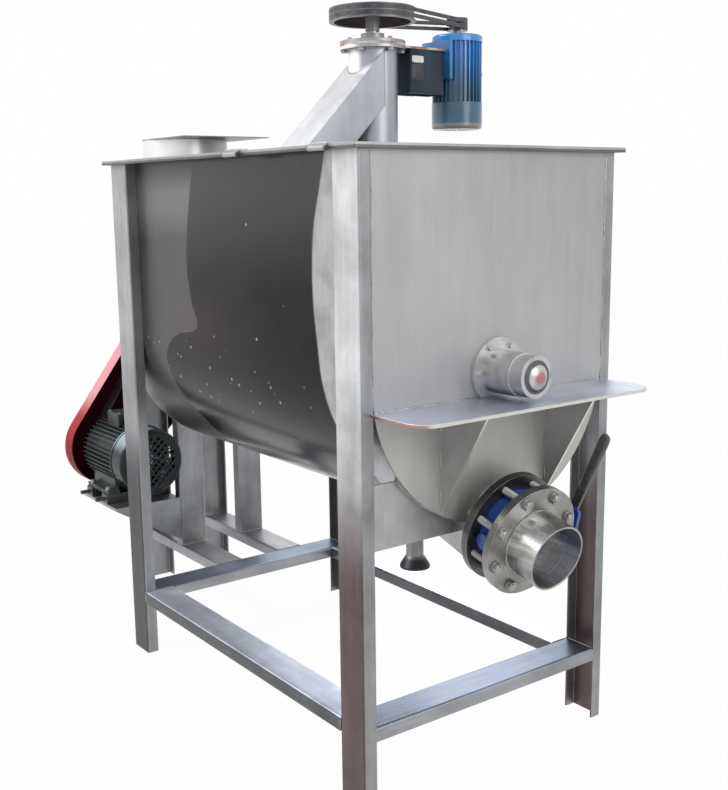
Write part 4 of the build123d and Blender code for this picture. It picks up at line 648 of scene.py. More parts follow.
def paintFinish(name, look):
    # gloss paint: faint tone shift, orange peel, chipped edges and dust in patches
    sockets = {
        "Coat Weight": look.get("coat", 0.3),
        "Coat Roughness": 0.12,
        "Specular IOR Level": look.get("shine", 0.5),
    }
    material, tree, shader = newMaterial(name, look.get("metal", 0.0), look["rough"], sockets)
    place = objectPlace(tree)
    cloud = noise(tree, place, look.get("blotch", 9.0), 4.0, 0.6, 0.5)
    colour = ramp(tree, cloud, shades(look["tint"], 0.78, 1.18))
    if "extra" in look:
        colour = look["extra"](tree, place, colour)
    normal = roundedNormal(tree, look.get("edge", 0.001))
    chips = times(tree, edgeMask(tree, normal), between(tree, noise(tree, place, 60.0, 4.0), 0.5, 0.58))
    colour = mix(
        tree, times(tree, chips, look.get("wear", 0.5)), colour, look.get("under", (0.35, 0.34, 0.33))
    )
    grime = between(tree, noise(tree, place, 26.0, 5.0, 0.7), 0.56, 0.7)
    colour = mix(
        tree, times(tree, grime, look.get("grime", 0.25)), colour, look.get("dust", (0.25, 0.24, 0.22))
    )
    tree.links.new(colour, shader.inputs["Base Color"])
    peel = bump(tree, noise(tree, place, 420.0, 2.0), look.get("peel", 0.12), 0.0003, normal)
    tree.links.new(peel, shader.inputs["Normal"])
    return material


topMotorTones = {
    "bodyZ": (1.845, 1.74), "body": (0.9, 0.48, 0.34), "ringZ": (1.664, 1.66), "ring": (0.20, 0.22, 0.24),
}


def topMotorShadeAndRing(tree, place, colour):
    # painted light: bright blue shoulder, the body below painted darker slate blue as shade, bare grey ring
    # at the foot
    x, y, z = axes(tree, place)
    colour = scaled(tree, between(tree, z, *topMotorTones["bodyZ"]), colour, topMotorTones["body"])
    return mix(tree, between(tree, z, *topMotorTones["ringZ"]), colour, topMotorTones["ring"])


bracketTones = {
    "motorSideY": (0.10, 0.17),
    "motorSide": (0.045, 0.06, 0.085),
    "lidZ": (1.8535, 1.8545),
    "lid": [(0.42, (0.62, 0.56, 0.5)), (0.62, (0.42, 0.2, 0.12))],
}


def bracketTone(tree, place, colour):
    # a little bluer towards the motor, bare and rusty along the upper plate
    x, y, z = axes(tree, place)
    colour = mix(tree, between(tree, y, *bracketTones["motorSideY"]), colour, bracketTones["motorSide"])
    rusty = ramp(tree, noise(tree, place, 34.0, 4.0), bracketTones["lid"])
    return mix(tree, between(tree, z, *bracketTones["lidZ"]), colour, rusty)


guardTones = {
    "rimWay": (0, -0.86, 0.5),
    "redZ": (0.52, 0.66, 0.0, 0.6),
    "red": (0.46, 0.05, 0.045),
    "pinkZ": (0.66, 0.76, 0.0, 0.95),
    "pink": (0.72, 0.33, 0.37),
    "innerWay": (0, 0.86, -0.5),
    "inner": (0.22, 0.3, 0.45),
}


def guardPaintedLight(tree, place, colour):
    # painted light: the near rim faces are painted bright red half way up and pale pink above as a sheen; the
    # casing's inner faces are painted dark brown as shade
    x, y, z = axes(tree, place)
    rim = facing(tree, guardTones["rimWay"], 0.5, 0.8)
    tone = mix(tree, between(tree, z, *guardTones["redZ"]), colour, guardTones["red"])
    tone = mix(tree, between(tree, z, *guardTones["pinkZ"]), tone, guardTones["pink"])
    inner = maths(
        tree, "MAXIMUM", facing(tree, guardTones["innerWay"], 0.2, 0.5), facing(tree, (1, 0, 0), 0.5, 0.8)
    )
    return mix(tree, rim, scaled(tree, inner, colour, guardTones["inner"]), tone)


cowlTones = {"shoulderWay": (0, -0.45, 0.89), "shoulder": (0.36, 0.45, 0.50), "below": (0.4, 0.4, 0.4)}


def cowlPaintedLight(tree, place, colour):
    # a painted highlight on the cowl's upper shoulder, painted shade on its underside, near black
    colour = mix(tree, facing(tree, cowlTones["shoulderWay"], 0.72, 1.0), colour, cowlTones["shoulder"])
    return scaled(tree, facing(tree, (0, 0, -1), -0.1, 0.7), colour, cowlTones["below"])


paintLooks = {
    "guardRed": {
        "tint": (0.21, 0.010, 0.018), "rough": 0.5, "coat": 0.0, "shine": 0.12, "extra": guardPaintedLight,
        "wear": 0.3, "grime": 0.06,
    },
    "motorGreen": {
        "tint": (0.030, 0.038, 0.040), "rough": 0.42, "grime": 0.25, "dust": (0.10, 0.10, 0.098),
        "coat": 0.15, "shine": 0.35,
    },
    "cowlTeal": {
        "tint": (0.013, 0.020, 0.022), "rough": 0.26, "coat": 0.1, "grime": 0.1, "shine": 0.2,
        "extra": cowlPaintedLight,
    },
    "topMotorBlue": {
        "tint": (0.034, 0.24, 0.60), "rough": 0.3, "coat": 0.5, "extra": topMotorShadeAndRing, "wear": 0.3,
        "grime": 0.3, "dust": (0.10, 0.16, 0.22),
    },
    "bracketGrey": {
        "tint": (0.030, 0.045, 0.066), "rough": 0.5, "coat": 0.0, "shine": 0.1, "grime": 0.06,
        "extra": bracketTone, "edge": 0.0008,
    },
    "bearingPaint": {"tint": (0.30, 0.31, 0.33), "rough": 0.4, "metal": 0.6},
    "reducerPaint": {
        "tint": (0.12, 0.17, 0.21), "rough": 0.4, "coat": 0.25, "wear": 0.5, "grime": 0.3, "edge": 0.002,
    },
    "valveBlue": {"tint": (0.012, 0.075, 0.33), "rough": 0.38, "coat": 0.4, "wear": 0.4, "edge": 0.0015},
    "leverDark": {"tint": (0.062, 0.066, 0.060), "rough": 0.42, "wear": 0.7, "grime": 0.2},
    "wheelIron": {
        "tint": (0.045, 0.045, 0.05), "rough": 0.36, "metal": 0.5, "wear": 0.7, "grime": 0.2,
        "dust": (0.16, 0.08, 0.07),
    },
    "railDark": {"tint": (0.035, 0.037, 0.04), "rough": 0.45, "grime": 0.35, "dust": (0.12, 0.11, 0.1)},
}
paint = {name: paintFinish(name, look) for name, look in paintLooks.items()}


wheelLook = {
    "rim": [(0.3, (0.08, 0.078, 0.09)), (0.7, (0.17, 0.165, 0.19))],
    "dish": [(0.3, (0.10, 0.035, 0.045)), (0.7, (0.22, 0.09, 0.10))],
    "hub": (0.3, 0.3, 0.32),
    "dishEdge": (0.104, 0.1),
    "hubEdge": (0.026, 0.022),
}


def wheelFinish():
    # big wheel: dark rim, dull red primer on the underside's dish
    material, tree, shader = newMaterial("wheelPrimer", 0.35, 0.4, {"Coat Weight": 0.2})
    place = objectPlace(tree, move=(-tubeX, 0, 0))
    x, y, z = axes(tree, place)
    radius = reachOf(tree, x, y)
    cloud = noise(tree, place, 18.0, 4.0)
    rim, dish = ramp(tree, cloud, wheelLook["rim"]), ramp(tree, cloud, wheelLook["dish"])
    colour = mix(tree, between(tree, radius, *wheelLook["dishEdge"]), rim, dish)
    colour = mix(tree, between(tree, radius, *wheelLook["hubEdge"]), colour, wheelLook["hub"])
    tree.links.new(colour, shader.inputs["Base Color"])
    cast = bump(tree, noise(tree, place, 160.0, 3.0), 0.2, 0.0004, roundedNormal(tree, 0.001))
    tree.links.new(cast, shader.inputs["Normal"])
    return material


def rubberFinish():
    # belt: dull black, dusty in patches
    material, tree, shader = newMaterial("beltRubber", roughness=0.55)
    place = objectPlace(tree)
    cloud = noise(tree, place, 40.0, 4.0)
    dusty = ramp(tree, cloud, [(0.35, (0.024, 0.023, 0.025)), (0.7, (0.085, 0.08, 0.088))])
    tree.links.new(dusty, shader.inputs["Base Color"])
    tree.links.new(ramp(tree, cloud, [(0.3, 0.35), (0.7, 0.6)]), shader.inputs["Roughness"])
    tree.links.new(bump(tree, noise(tree, place, 900.0, 2.0), 0.2, 0.0002), shader.inputs["Normal"])
    return material


def drainFinish():
    # grey pipe that turns black at its flared foot
    material, tree, shader = newMaterial("drainFinish", metallic=0.6, roughness=0.4)
    place = objectPlace(tree)
    x, y, z = axes(tree, place)
    cloud = noise(tree, place, 30.0, 4.0)
    pipe = ramp(tree, cloud, [(0.3, (0.16, 0.16, 0.165)), (0.7, (0.3, 0.3, 0.31))])
    foot = ramp(tree, cloud, [(0.3, (0.018, 0.018, 0.02)), (0.7, (0.05, 0.05, 0.055))])
    tree.links.new(mix(tree, between(tree, z, 0.482, 0.468), pipe, foot), shader.inputs["Base Color"])
    tree.links.new(bump(tree, cloud, 0.15, 0.0006, roundedNormal(tree, 0.001)), shader.inputs["Normal"])
    return material


print("materials made")

# which finish each node takes
finishes = {
    steel["troughWithPaintedReflection"]: ["trough_shell"],
    steel["plateSteel"]: ["end_plate_front", "end_plate_back"],
    steel["legSteel"]: [
        "leg_back_left", "leg_back_right", "leg_front_left", "leg_front_right", "near_posts", "far_posts",
    ],
    steel["railSteelX"]: ["side_rails"],
    steel["beamSteel"]: ["drive_beams", "drive_table", "motor_shelf"],
    steel["railSteelY"]: ["cross_rails"],
    steel["coverSteel"]: ["cover_back", "cover_front", "feed_sheet", "rim_clip_back", "rim_clip_front"],
    steel["rimSteel"]: ["rim_flange"],
    steel["collarSteel"]: ["feed_collar"],
    steel["chuteSteel"]: ["chute"],
    steel["shelfSteel"]: ["end_shelf"],
    steel["tubeSteel"]: ["lift_tube"],
    steel["sumpSteel"]: ["outlet_sump", "saddles"],
    steel["ribbonSteel"]: ["outer_ribbons", "inner_ribbons", "lift_screw"],
    steel["shaftSteel"]: [
        "main_shaft", "output_shaft", "input_shaft", "chain_coupling", "motor_rotor", "top_motor_rotor",
        "valve_disc",
    ],
    steel["studSteel"]: ["flange_studs"],
    steel["flangeSteel"]: ["outlet_neck", "outlet_spigot"],
    steel["bearingSteel"]: ["front_bearing", "back_bearing"],
    paint["guardRed"]: ["belt_guard"],
    paint["motorGreen"]: ["motor_body", "terminal_box"],
    paint["cowlTeal"]: ["fan_cowl"],
    paint["topMotorBlue"]: ["top_motor_body"],
    paint["bracketGrey"]: ["motor_bracket"],
    paint["bearingPaint"]: ["top_bearing"],
    paint["reducerPaint"]: ["reducer_case"],
    paint["valveBlue"]: ["valve_body"],
    paint["leverDark"]: ["valve_lever"],
    paint["wheelIron"]: ["driven_wheel", "motor_wheel", "small_wheel"],
    paint["railDark"]: ["slide_rails"],
    wheelFinish(): ["screw_wheel"],
    rubberFinish(): ["drive_belts", "screw_belts"],
    drainFinish(): ["drain_pipe"],
}
for material, names in finishes.items():
    for name in names:
        slots = nodes[name].material_slots
        if not slots:
            nodes[name].data.materials.append(material)
        for slot in slots:
            slot.material = material
print("finishes given to", sum(len(names) for names in finishes.values()), "nodes")


def surfacePiece(name, grids, material, body, closeAround=True, closeAlong=False, sharp=35.0):
    # grids[n, i, j]: copy n, step i along, step j around; neighbouring points make one quad
    grids = np.asarray(grids, float)
    if grids.ndim == 3:
        grids = grids[None]
    count, rows, cols = grids.shape[:3]
    i = np.arange(rows if closeAlong else rows - 1)
    j = np.arange(cols if closeAround else cols - 1)
    a, b = np.meshgrid(i, j, indexing="ij")
    nextA, nextB = (a + 1) % rows, (b + 1) % cols
    corners = [a * cols + b, a * cols + nextB, nextA * cols + nextB, nextA * cols + b]
    quads = np.stack(corners, -1).reshape(-1, 4)
    quads = (quads[None] + (np.arange(count) * rows * cols)[:, None, None]).reshape(-1, 4)
    mesh = bpy.data.meshes.new(name)
    mesh.vertices.add(count * rows * cols)
    mesh.vertices.foreach_set("co", grids.reshape(-1).astype(np.float32))
    mesh.loops.add(quads.size)
    mesh.loops.foreach_set("vertex_index", quads.reshape(-1).astype(np.int32))
    mesh.polygons.add(len(quads))
    mesh.polygons.foreach_set("loop_start", (np.arange(len(quads)) * 4).astype(np.int32))
    mesh.polygons.foreach_set("loop_total", np.full(len(quads), 4, np.int32))
    mesh.update(calc_edges=True)
    work = bmesh.new()
    work.from_mesh(mesh)
    bmesh.ops.remove_doubles(work, verts=work.verts, dist=1e-6)
    bmesh.ops.recalc_face_normals(work, faces=work.faces)
    work.to_mesh(mesh)
    work.free()
    mesh.polygons.foreach_set("use_smooth", np.ones(len(mesh.polygons), bool))
    mesh.set_sharp_from_angle(angle=math.radians(sharp))
    mesh.materials.append(material)
    piece = bpy.data.objects.new(name, mesh)
    bpy.context.scene.collection.objects.link(piece)
    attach(piece, body)
    return piece


def basis(axis):
    # unit axis and two directions square to it
    axis = np.asarray(axis, float)
    axis = axis / np.linalg.norm(axis)
    side = np.cross((0, 1, 0) if abs(axis[1]) < 0.9 else (1, 0, 0), axis)
    side = side / np.linalg.norm(side)
    return side, np.cross(axis, side), axis


def placed(grid, spot, axis):
    # local x, y, z of a grid carried to a spot, local z along the axis
    side, up, way = basis(axis)
    return np.asarray(spot, float) + grid[..., :1] * side + grid[..., 1:2] * up + grid[..., 2:] * way


def line(a, b, step=0.003):
    a, b = np.asarray(a, float), np.asarray(b, float)
    count = max(int(np.linalg.norm(b - a) / step), 4)
    return a + (b - a) * np.linspace(0, 1, count)[:, None]


def arc(centre, u, v, start, end, step=0.003):
    # centre + u cos t + v sin t, t from start to end in degrees
    u, v = np.asarray(u, float), np.asarray(v, float)
    turn = math.radians(end - start)
    count = max(int(abs(turn) * max(np.linalg.norm(u), np.linalg.norm(v)) / step), 8)
    t = np.radians(np.linspace(start, end, count))[:, None]
    return np.asarray(centre, float) + u * np.cos(t) + v * np.sin(t)


weld = {"ripple": 0.0035, "swell": 0.22, "around": 8}


def beadGrid(path, radius, up):
    # ring about each point of the path; its radius swells with |sin(pi s / ripple)|, s being the way run,
    # and closes at both ends
    tangent = np.gradient(path, axis=0)
    tangent /= np.linalg.norm(tangent, axis=1, keepdims=True)
    side = np.cross(tangent, np.asarray(up, float))
    side /= np.linalg.norm(side, axis=1, keepdims=True)
    lift = np.cross(side, tangent)
    run = np.concatenate([[0], np.cumsum(np.linalg.norm(np.diff(path, axis=0), axis=1))])
    swell = 1 - weld["swell"] + weld["swell"] * np.abs(np.sin(math.pi * run / weld["ripple"]))
    ends = np.clip(np.minimum(run, run[-1] - run) / (1.5 * radius), 0, 1) ** 0.5
    size = (radius * swell * ends)[:, None, None]
    t = np.linspace(0, 2 * math.pi, weld["around"], endpoint=False)[None, :, None]
    return path[:, None] + size * (np.cos(t) * side[:, None] + np.sin(t) * lift[:, None])


xAxis, yAxis, zAxis = np.eye(3)
ringY, ringZ = troughR * yAxis, troughR * zAxis
collarSpot = np.array([backX + 0.210, -0.265, coverTop])
tubeSpot = np.array([tubeX, 0, 0])
seamAt = {
    "tube": 0.0668,  # ring of the weld round the lifting tube
    "tubeTop": 1.8455,
    "cutHigh": 1.850,  # heights of the slanted cuts where the chute meets the tube
    "cutLow": 1.709,
    "collar": 0.1253,
    "plateTop": 1.56,
    "shelfTop": 0.9755,
    "shelfUnder": 0.9665,
    "gussetY": 0.176,
    "gussetHalf": 0.0035,
    "gussetRun": 0.045,
    "railTop": 0.2092,
    "beamTop": 0.2095,
    "postsY": (-0.047, 0.199),
    "beamX": backX - 0.2635,
    "legWide": 0.1,
    "sumpY": 0.0955,
    "sumpZ": (0.576, 0.666),
}
both = (-1, 1)
pipeY, pipeUp = outlet["weld"] * yAxis, outlet["weld"] * outletUp
tubeRingX, tubeRingY = seamAt["tube"] * xAxis, seamAt["tube"] * yAxis
tubeSlant = seamAt["tube"] * (yAxis + zAxis)


def outletAt(distance):
    return outletStart + outletWay * distance


seams = {
    "plateSeams": [
        (line((frontX, s * troughR, shaftZ), (frontX, s * troughR, seamAt["plateTop"])), 0.0020, xAxis)
        for s in both
    ]
    + [(arc((frontX - 0.0025, 0, shaftZ), ringY, ringZ, -180, 0), 0.0022, xAxis)],
    "shelfSeams": [
        (line((frontX, s * 0.066, seamAt["shelfTop"]), (frontX, s * 0.378, seamAt["shelfTop"])), 0.003, zAxis)
        for s in both
    ]
    + [(line((frontX, -0.376, seamAt["shelfUnder"]), (frontX, 0.376, seamAt["shelfUnder"])), 0.003, zAxis)],
    "gussetSeams": [
        (line((frontX + 0.001, y, low), (frontX + 0.001, y, low + seamAt["gussetRun"])), 0.0028, xAxis)
        for y in [s * seamAt["gussetY"] + t * seamAt["gussetHalf"] for s in both for t in both]
        for low in (0.725, 0.815, 0.905)
    ],
    "neckSeams": [(arc((frontX, 0, outlet["height"]), pipeY, 0.0871 * zAxis, 0, 358), 0.003, xAxis)]
    + [
        (arc(outletAt(outlet[end]), pipeY, pipeUp, 0, 358), 0.003, outletWay)
        for end in ("neckEnd", "spigotEnd")
    ],
    "tubeSeams": [
        (arc(tubeSpot + z * zAxis, tubeRingX, tubeRingY, start, end), radius, zAxis)
        for z, start, end, radius in ((coverTop, -40, 220, 0.0028), (seamAt["tubeTop"], 0, 358, 0.0025))
    ]
    + [
        (arc(tubeSpot + z * zAxis, tubeRingX, tubeSlant, -172, -8), 0.0022, (0, -1, 1))
        for z in (seamAt["cutHigh"], seamAt["cutLow"])
    ],
    "chuteSeams": [
        (line((tubeX + s * 0.066, -0.272, coverTop), (tubeX + s * 0.066, -0.133, coverTop)), 0.0025, zAxis)
        for s in both
    ]
    + [
        (line((tubeX - 0.065, y, coverTop), (tubeX + 0.065, y, coverTop)), 0.0025, zAxis)
        for y in (-0.273, -0.132)
    ],
    "collarSeam": [
        (arc(collarSpot, seamAt["collar"] * xAxis, seamAt["collar"] * yAxis, 0, 358), 0.0022, zAxis)
    ],
    "railSeams": [
        (line((x, s * 0.414, seamAt["railTop"]), (x, s * 0.381, seamAt["railTop"])), 0.002, zAxis)
        for s in both
        for x in (backX + seamAt["legWide"], frontX - seamAt["legWide"])
    ]
    + [
        (line((x, s * 0.416, 0.176), (x, s * 0.416, 0.205)), 0.002, yAxis)
        for s in both
        for x in (backX + seamAt["legWide"], frontX - seamAt["legWide"])
    ]
    + [
        (
            line((x + 0.004, s * 0.380, seamAt["railTop"]), (x + 0.096, s * 0.380, seamAt["railTop"])),
            0.0022, zAxis,
        )
        for s in both
        for x in (backX, frontX - seamAt["legWide"])
    ],
    "postSeams": [
        (line((x, y - half, z), (x, y + half, z)), radius, zAxis)
        for x, half, z, radius in (
            (seamAt["beamX"], 0.049, seamAt["beamTop"], 0.0024), (backX, 0.048, seamAt["railTop"], 0.0022)
        )
        for y in seamAt["postsY"]
    ],
    "saddleSeams": [(arc((frontX - 0.0215, 0, shaftZ), ringY, ringZ, -141, -105.5), 0.0025, xAxis)],
    "sumpSeams": [
        (line(*[(frontX - 0.0025, s * seamAt["sumpY"], z) for z in seamAt["sumpZ"]]), 0.0022, xAxis)
        for s in both
    ],
    "drainSeam": [(arc((backX + 0.97, 0, 0.6555), 0.0243 * xAxis, 0.0243 * yAxis, 0, 358), 0.002, zAxis)],
}


def joined(name, grids, material, body):
    # grids of unlike length become one piece by joining their meshes
    parts = [surfacePiece(name, grid, material, body) for grid in grids]
    work = bmesh.new()
    for part in parts:
        work.from_mesh(part.data)
    work.to_mesh(parts[0].data)
    work.free()
    for part in parts[1:]:
        bpy.data.objects.remove(part)
    parts[0].name = name
    parts[0].data.polygons.foreach_set("use_smooth", np.ones(len(parts[0].data.polygons), bool))
    return parts[0]


for name, runs in seams.items():
    beads = [beadGrid(path, radius, up) for path, radius, up in runs]
    joined(name, beads, steel["weldSteel"], "frame")
print("seams welded:", len(seams))


def hexGrid(nut, around=36):
    # washer ring first, then a hexagon of radius flat / cos(((t + 30) mod 60) - 30), its corners
    # chamfered to a circle
    flat, height, washer, thick = (nut[k] for k in ("flat", "height", "washer", "thick"))
    t = np.linspace(0, 360, around, endpoint=False)
    hexagon = flat / np.cos(np.radians((t + 30) % 60 - 30))
    circle = np.full(around, 1.0)
    rows = [(circle * 0, 0)]
    if washer:
        rows += [
            (circle * washer, 0), (circle * washer, thick * 0.8), (circle * (washer - thick * 0.2), thick),
        ]
    rows += [(hexagon, thick), (hexagon, thick + height * 0.82)]
    rows += [(np.minimum(hexagon, flat * 1.03), thick + height), (circle * 0, thick + height)]
    radius = np.stack([r for r, z in rows])
    level = np.array([z for r, z in rows])[:, None] * circle
    angle = np.radians(t)[None]
    return np.stack([radius * np.cos(angle), radius * np.sin(angle), level], -1)


def studPiece(name, grid, spots, axis):
    # one piece out of a copy of the grid at each spot
    copies = np.stack([placed(grid, spot, axis) for spot in spots])
    return surfacePiece(name, copies, steel["studSteel"], "frame")


nuts = {
    "reducer": {"flat": 0.0105, "height": 0.009, "washer": 0.014, "thick": 0.0025},
    "motorFoot": {"flat": 0.0085, "height": 0.008, "washer": 0.012, "thick": 0.002},
    "tubeFlange": {"flat": 0.0075, "height": 0.007, "washer": 0.0, "thick": 0.0},
    "box": {"flat": 0.004, "height": 0.003, "washer": 0.0, "thick": 0.0},
    "cowl": {"flat": 0.005, "height": 0.004, "washer": 0.0, "thick": 0.0},
    "outlet": {"flat": 0.0122, "height": 0.0085, "washer": 0.0150, "thick": 0.0020},
}
driveMotor = {
    "y": -0.222,
    "z": 0.550,
    "footTop": 0.440,
    "middle": backX - 0.429,
    "footX": 0.067,
    "footY": 0.107,
    "boxHalf": 0.038,
    "cowlEdge": backX - 0.298,
    "screwCircle": 0.1188,
}
reducer = {"x": backX - 0.420, "top": 0.892, "footX": 0.101, "footY": (-0.118, 0.288)}
tubeFlange = {"boltCircle": 0.0775, "under": 1.846, "bolts": 6}
boltAngles = np.radians(22.5 + 360 / outlet["bolts"] * np.arange(outlet["bolts"]))
flangeBolts = [
    outletAt(0.0) + outlet["boltCircle"] * (math.cos(a) * yAxis + math.sin(a) * outletUp) for a in boltAngles
]
reducerSpots = [
    (reducer["x"] + s * reducer["footX"], y, reducer["top"]) for s in both for y in reducer["footY"]
]
studPiece("reducerBolts", hexGrid(nuts["reducer"]), reducerSpots, zAxis)
motorSpots = [
    (
        driveMotor["middle"] + a * driveMotor["footX"], driveMotor["y"] + b * driveMotor["footY"],
        driveMotor["footTop"],
    )
    for a in both
    for b in both
]
studPiece("motorFootBolts", hexGrid(nuts["motorFoot"]), motorSpots, zAxis)
tubeAngles = np.radians(360 / tubeFlange["bolts"] * np.arange(tubeFlange["bolts"]))
tubeCircle = [tubeFlange["boltCircle"] * (math.cos(a) * xAxis + math.sin(a) * yAxis) for a in tubeAngles]
tubeSpots = [tubeSpot + tubeFlange["under"] * zAxis + spot for spot in tubeCircle]
studPiece("tubeFlangeNuts", hexGrid(nuts["tubeFlange"]), tubeSpots, -zAxis)
boxTop = float(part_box("terminal_box")[1].z)
boxSpots = [
    (driveMotor["middle"] + a * driveMotor["boxHalf"], driveMotor["y"] + b * driveMotor["boxHalf"], boxTop)
    for a in both
    for b in both
]
studPiece("boxScrews", hexGrid(nuts["box"]), boxSpots, zAxis)

# studs with a cut thread: radius falls by the thread's depth as a triangle wave of z / pitch - turn
studThread = {
    "from": 0.020,  # from behind the rear nuts to past the front nuts
    "to": 0.1475,
    "radius": 0.0098,
    "depth": 0.0011,
    "pitch": 0.0025,
    "perPitch": 4,
    "around": 14,
    "bevel": 0.002,
}


def threadGrid(thread):
    length = thread["to"] - thread["from"]
    steps = int(length / thread["pitch"] * thread["perPitch"]) + 1
    z = np.linspace(0, length, steps)[:, None]
    t = np.linspace(0, 2 * math.pi, thread["around"], endpoint=False)[None]
    wave = np.abs(((z / thread["pitch"] - t / (2 * math.pi)) % 1.0) * 2 - 1)
    bevel = np.clip(np.minimum(z, length - z) / thread["bevel"], 0, 1)
    radius = (thread["radius"] - thread["depth"] * wave) * (0.78 + 0.22 * bevel)
    grid = np.stack([radius * np.cos(t), radius * np.sin(t), z + 0 * t], -1)
    tips = np.zeros((1, thread["around"], 3))
    return np.concatenate([tips, grid, tips + (0, 0, length)])


studSpots = [spot + outletWay * studThread["from"] for spot in flangeBolts]
studs = studPiece("flangeStuds", threadGrid(studThread), studSpots, outletWay)
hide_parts("flange_studs")
for name, end, way in (("frontNuts", "frontNut", outletWay), ("rearNuts", "rearNut", -outletWay)):
    studPiece(name, hexGrid(nuts["outlet"]), [spot + outletWay * outlet[end] for spot in flangeBolts], way)
print("fasteners made")

# lever grip: super-ellipse section |a|^n + |b|^n = 1 along the lever, closing at both ends
grip = {
    "start": 0.092,
    "end": 0.270,
    "wide": 0.0155,
    "thick": 0.0085,
    "power": 2.6,
    "lean": 26,
    "offside": 0.1803,
    "steps": 40,
    "around": 28,
}


def gripPiece():
    hub = outletAt(outlet["lever"])
    lean = math.radians(grip["lean"])
    way = np.array([math.sin(lean), 0, math.cos(lean)])
    side = np.array([math.cos(lean), 0, -math.sin(lean)])
    s = np.linspace(0, 1, grip["steps"])[:, None]
    t = np.linspace(0, 2 * math.pi, grip["around"], endpoint=False)[None]
    power = 2 / grip["power"]
    a = np.sign(np.cos(t)) * np.abs(np.cos(t)) ** power
    b = np.sign(np.sin(t)) * np.abs(np.sin(t)) ** power
    close = np.clip(1 - np.abs(2 * s - 1) ** 10, 0, 1) ** 0.5
    wide = grip["wide"] * close * (0.86 + 0.14 * s)
    thick = grip["thick"] * close
    centre = hub + grip["offside"] * yAxis
    run = grip["start"] + (grip["end"] - grip["start"]) * s
    return centre + run[..., None] * way + (wide * a)[..., None] * side + (thick * b)[..., None] * yAxis


surfacePiece("leverGrip", gripPiece(), paint["leverDark"], "valve_rotor")


def plateGrid(wide, high, thick, corner, around=40):
    # rounded rectangle |a|^n + |b|^n = 1 with n = 2 / corner, raised by its thickness and closed
    t = np.linspace(0, 2 * math.pi, around, endpoint=False)
    a = np.sign(np.cos(t)) * np.abs(np.cos(t)) ** corner * wide / 2
    b = np.sign(np.sin(t)) * np.abs(np.sin(t)) ** corner * high / 2
    rows = [(0.0, 0.0), (1.0, 0.0), (1.0, thick * 0.7), (0.97, thick), (0.0, thick)]
    return np.stack([np.stack([a * k, b * k, np.full(around, z)], -1) for k, z in rows])


def plainMaterial(name, tint, rough):
    material, tree, shader = newMaterial(name, roughness=rough)
    place = objectPlace(tree)
    cloud = noise(tree, place, 55.0, 4.0, 0.65)
    tree.links.new(ramp(tree, cloud, shades(tint, 0.75, 1.0, end=0.65)), shader.inputs["Base Color"])
    tree.links.new(bump(tree, cloud, 0.12, 0.0004), shader.inputs["Normal"])
    return material


# two bare plates on the bracket box
tags = {
    "face": tubeX + 0.042,
    "y": 0.122,
    "wide": 0.040,
    "thick": 0.0008,
    "corner": 0.25,
    "paleTag": {"low": 1.818, "high": 1.836, "tint": (0.82, 0.82, 0.80)},
    "darkTag": {"low": 1.772, "high": 1.814, "tint": (0.03, 0.035, 0.045)},
}
for name in ("paleTag", "darkTag"):
    low, high, tint = (tags[name][k] for k in ("low", "high", "tint"))
    flat = plateGrid(tags["wide"], high - low, tags["thick"], tags["corner"])
    tag = placed(flat[:, :, [1, 0, 2]], (tags["face"], tags["y"], (low + high) / 2), xAxis)
    surfacePiece(name, tag, plainMaterial(name + "Finish", tint, 0.4), "frame")

# threaded stub on the vertical motor's far side
stub = {**studThread, "from": 0.0, "to": 0.030, "radius": 0.0042, "depth": 0.0008, "pitch": 0.002}
studPiece("motorStub", threadGrid(stub), [(tubeX, 0.366, 1.804)], yAxis)


def latheGrid(profile, centre, axis, around=96):
    # profile (distance along the axis, radius) turned about the axis
    profile = np.asarray(profile, float)
    t = np.linspace(0, 2 * math.pi, around, endpoint=False)[None]
    grid = np.stack([profile[:, 1:] * np.cos(t), profile[:, 1:] * np.sin(t), profile[:, :1] + 0 * t], -1)
    return placed(grid, centre, axis)


def ringProfile(middle, radius, half, steps=12):
    # small circle of size half about (middle, radius)
    t = np.linspace(0, 2 * math.pi, steps, endpoint=False)
    return np.stack([middle + half * np.cos(t), radius + half * np.sin(t)], -1)


motorAxis = np.array([0, driveMotor["y"], driveMotor["z"]])
cowlFace = float(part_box("fan_cowl")[1].x) - 0.001
# rings on the drive motor's cowl, as place, radius and size: shoulder, hub, edge towards the body
cowlRings = ((cowlFace, 0.100, 0.0022), (cowlFace, 0.030, 0.0018), (driveMotor["cowlEdge"], 0.1195, 0.0022))
rings = np.stack([latheGrid(ringProfile(*ring), motorAxis, xAxis) for ring in cowlRings])
surfacePiece("cowlRings", rings, paint["cowlTeal"], "frame", closeAlong=True)
# one screw half way up the cowl's far shoulder
across = math.cos(math.radians(45)) * yAxis + math.sin(math.radians(45)) * zAxis
cowlSpot = motorAxis + (driveMotor["cowlEdge"] + 0.014) * xAxis + driveMotor["screwCircle"] * across
studPiece("cowlScrews", hexGrid(nuts["cowl"]), [cowlSpot], (0, 1, 1))
print("small pieces made")

studio = {
    "floorTone": 0.82,
    "whiteShare": 0.97,
    "surround": 0.62,
    "floorReach": 60.0,
    "target": (0.1, 0, 0.9),
    "key": {"place": (-1.6, -3.6, 4.2), "size": 2.6, "power": 170},
    "fill": {"place": (4.6, 0.6, 3.0), "size": 3.0, "power": 70},
    "rear": {"place": (-3.0, 2.8, 3.4), "size": 2.5, "power": 60},
}


def seesWhite(tree):
    # 1 for camera, glossy and transmission rays
    path = tree.nodes.new("ShaderNodeLightPath")
    first = maths(tree, "MAXIMUM", path.outputs["Is Camera Ray"], path.outputs["Is Glossy Ray"])
    return maths(tree, "MAXIMUM", first, path.outputs["Is Transmission Ray"])


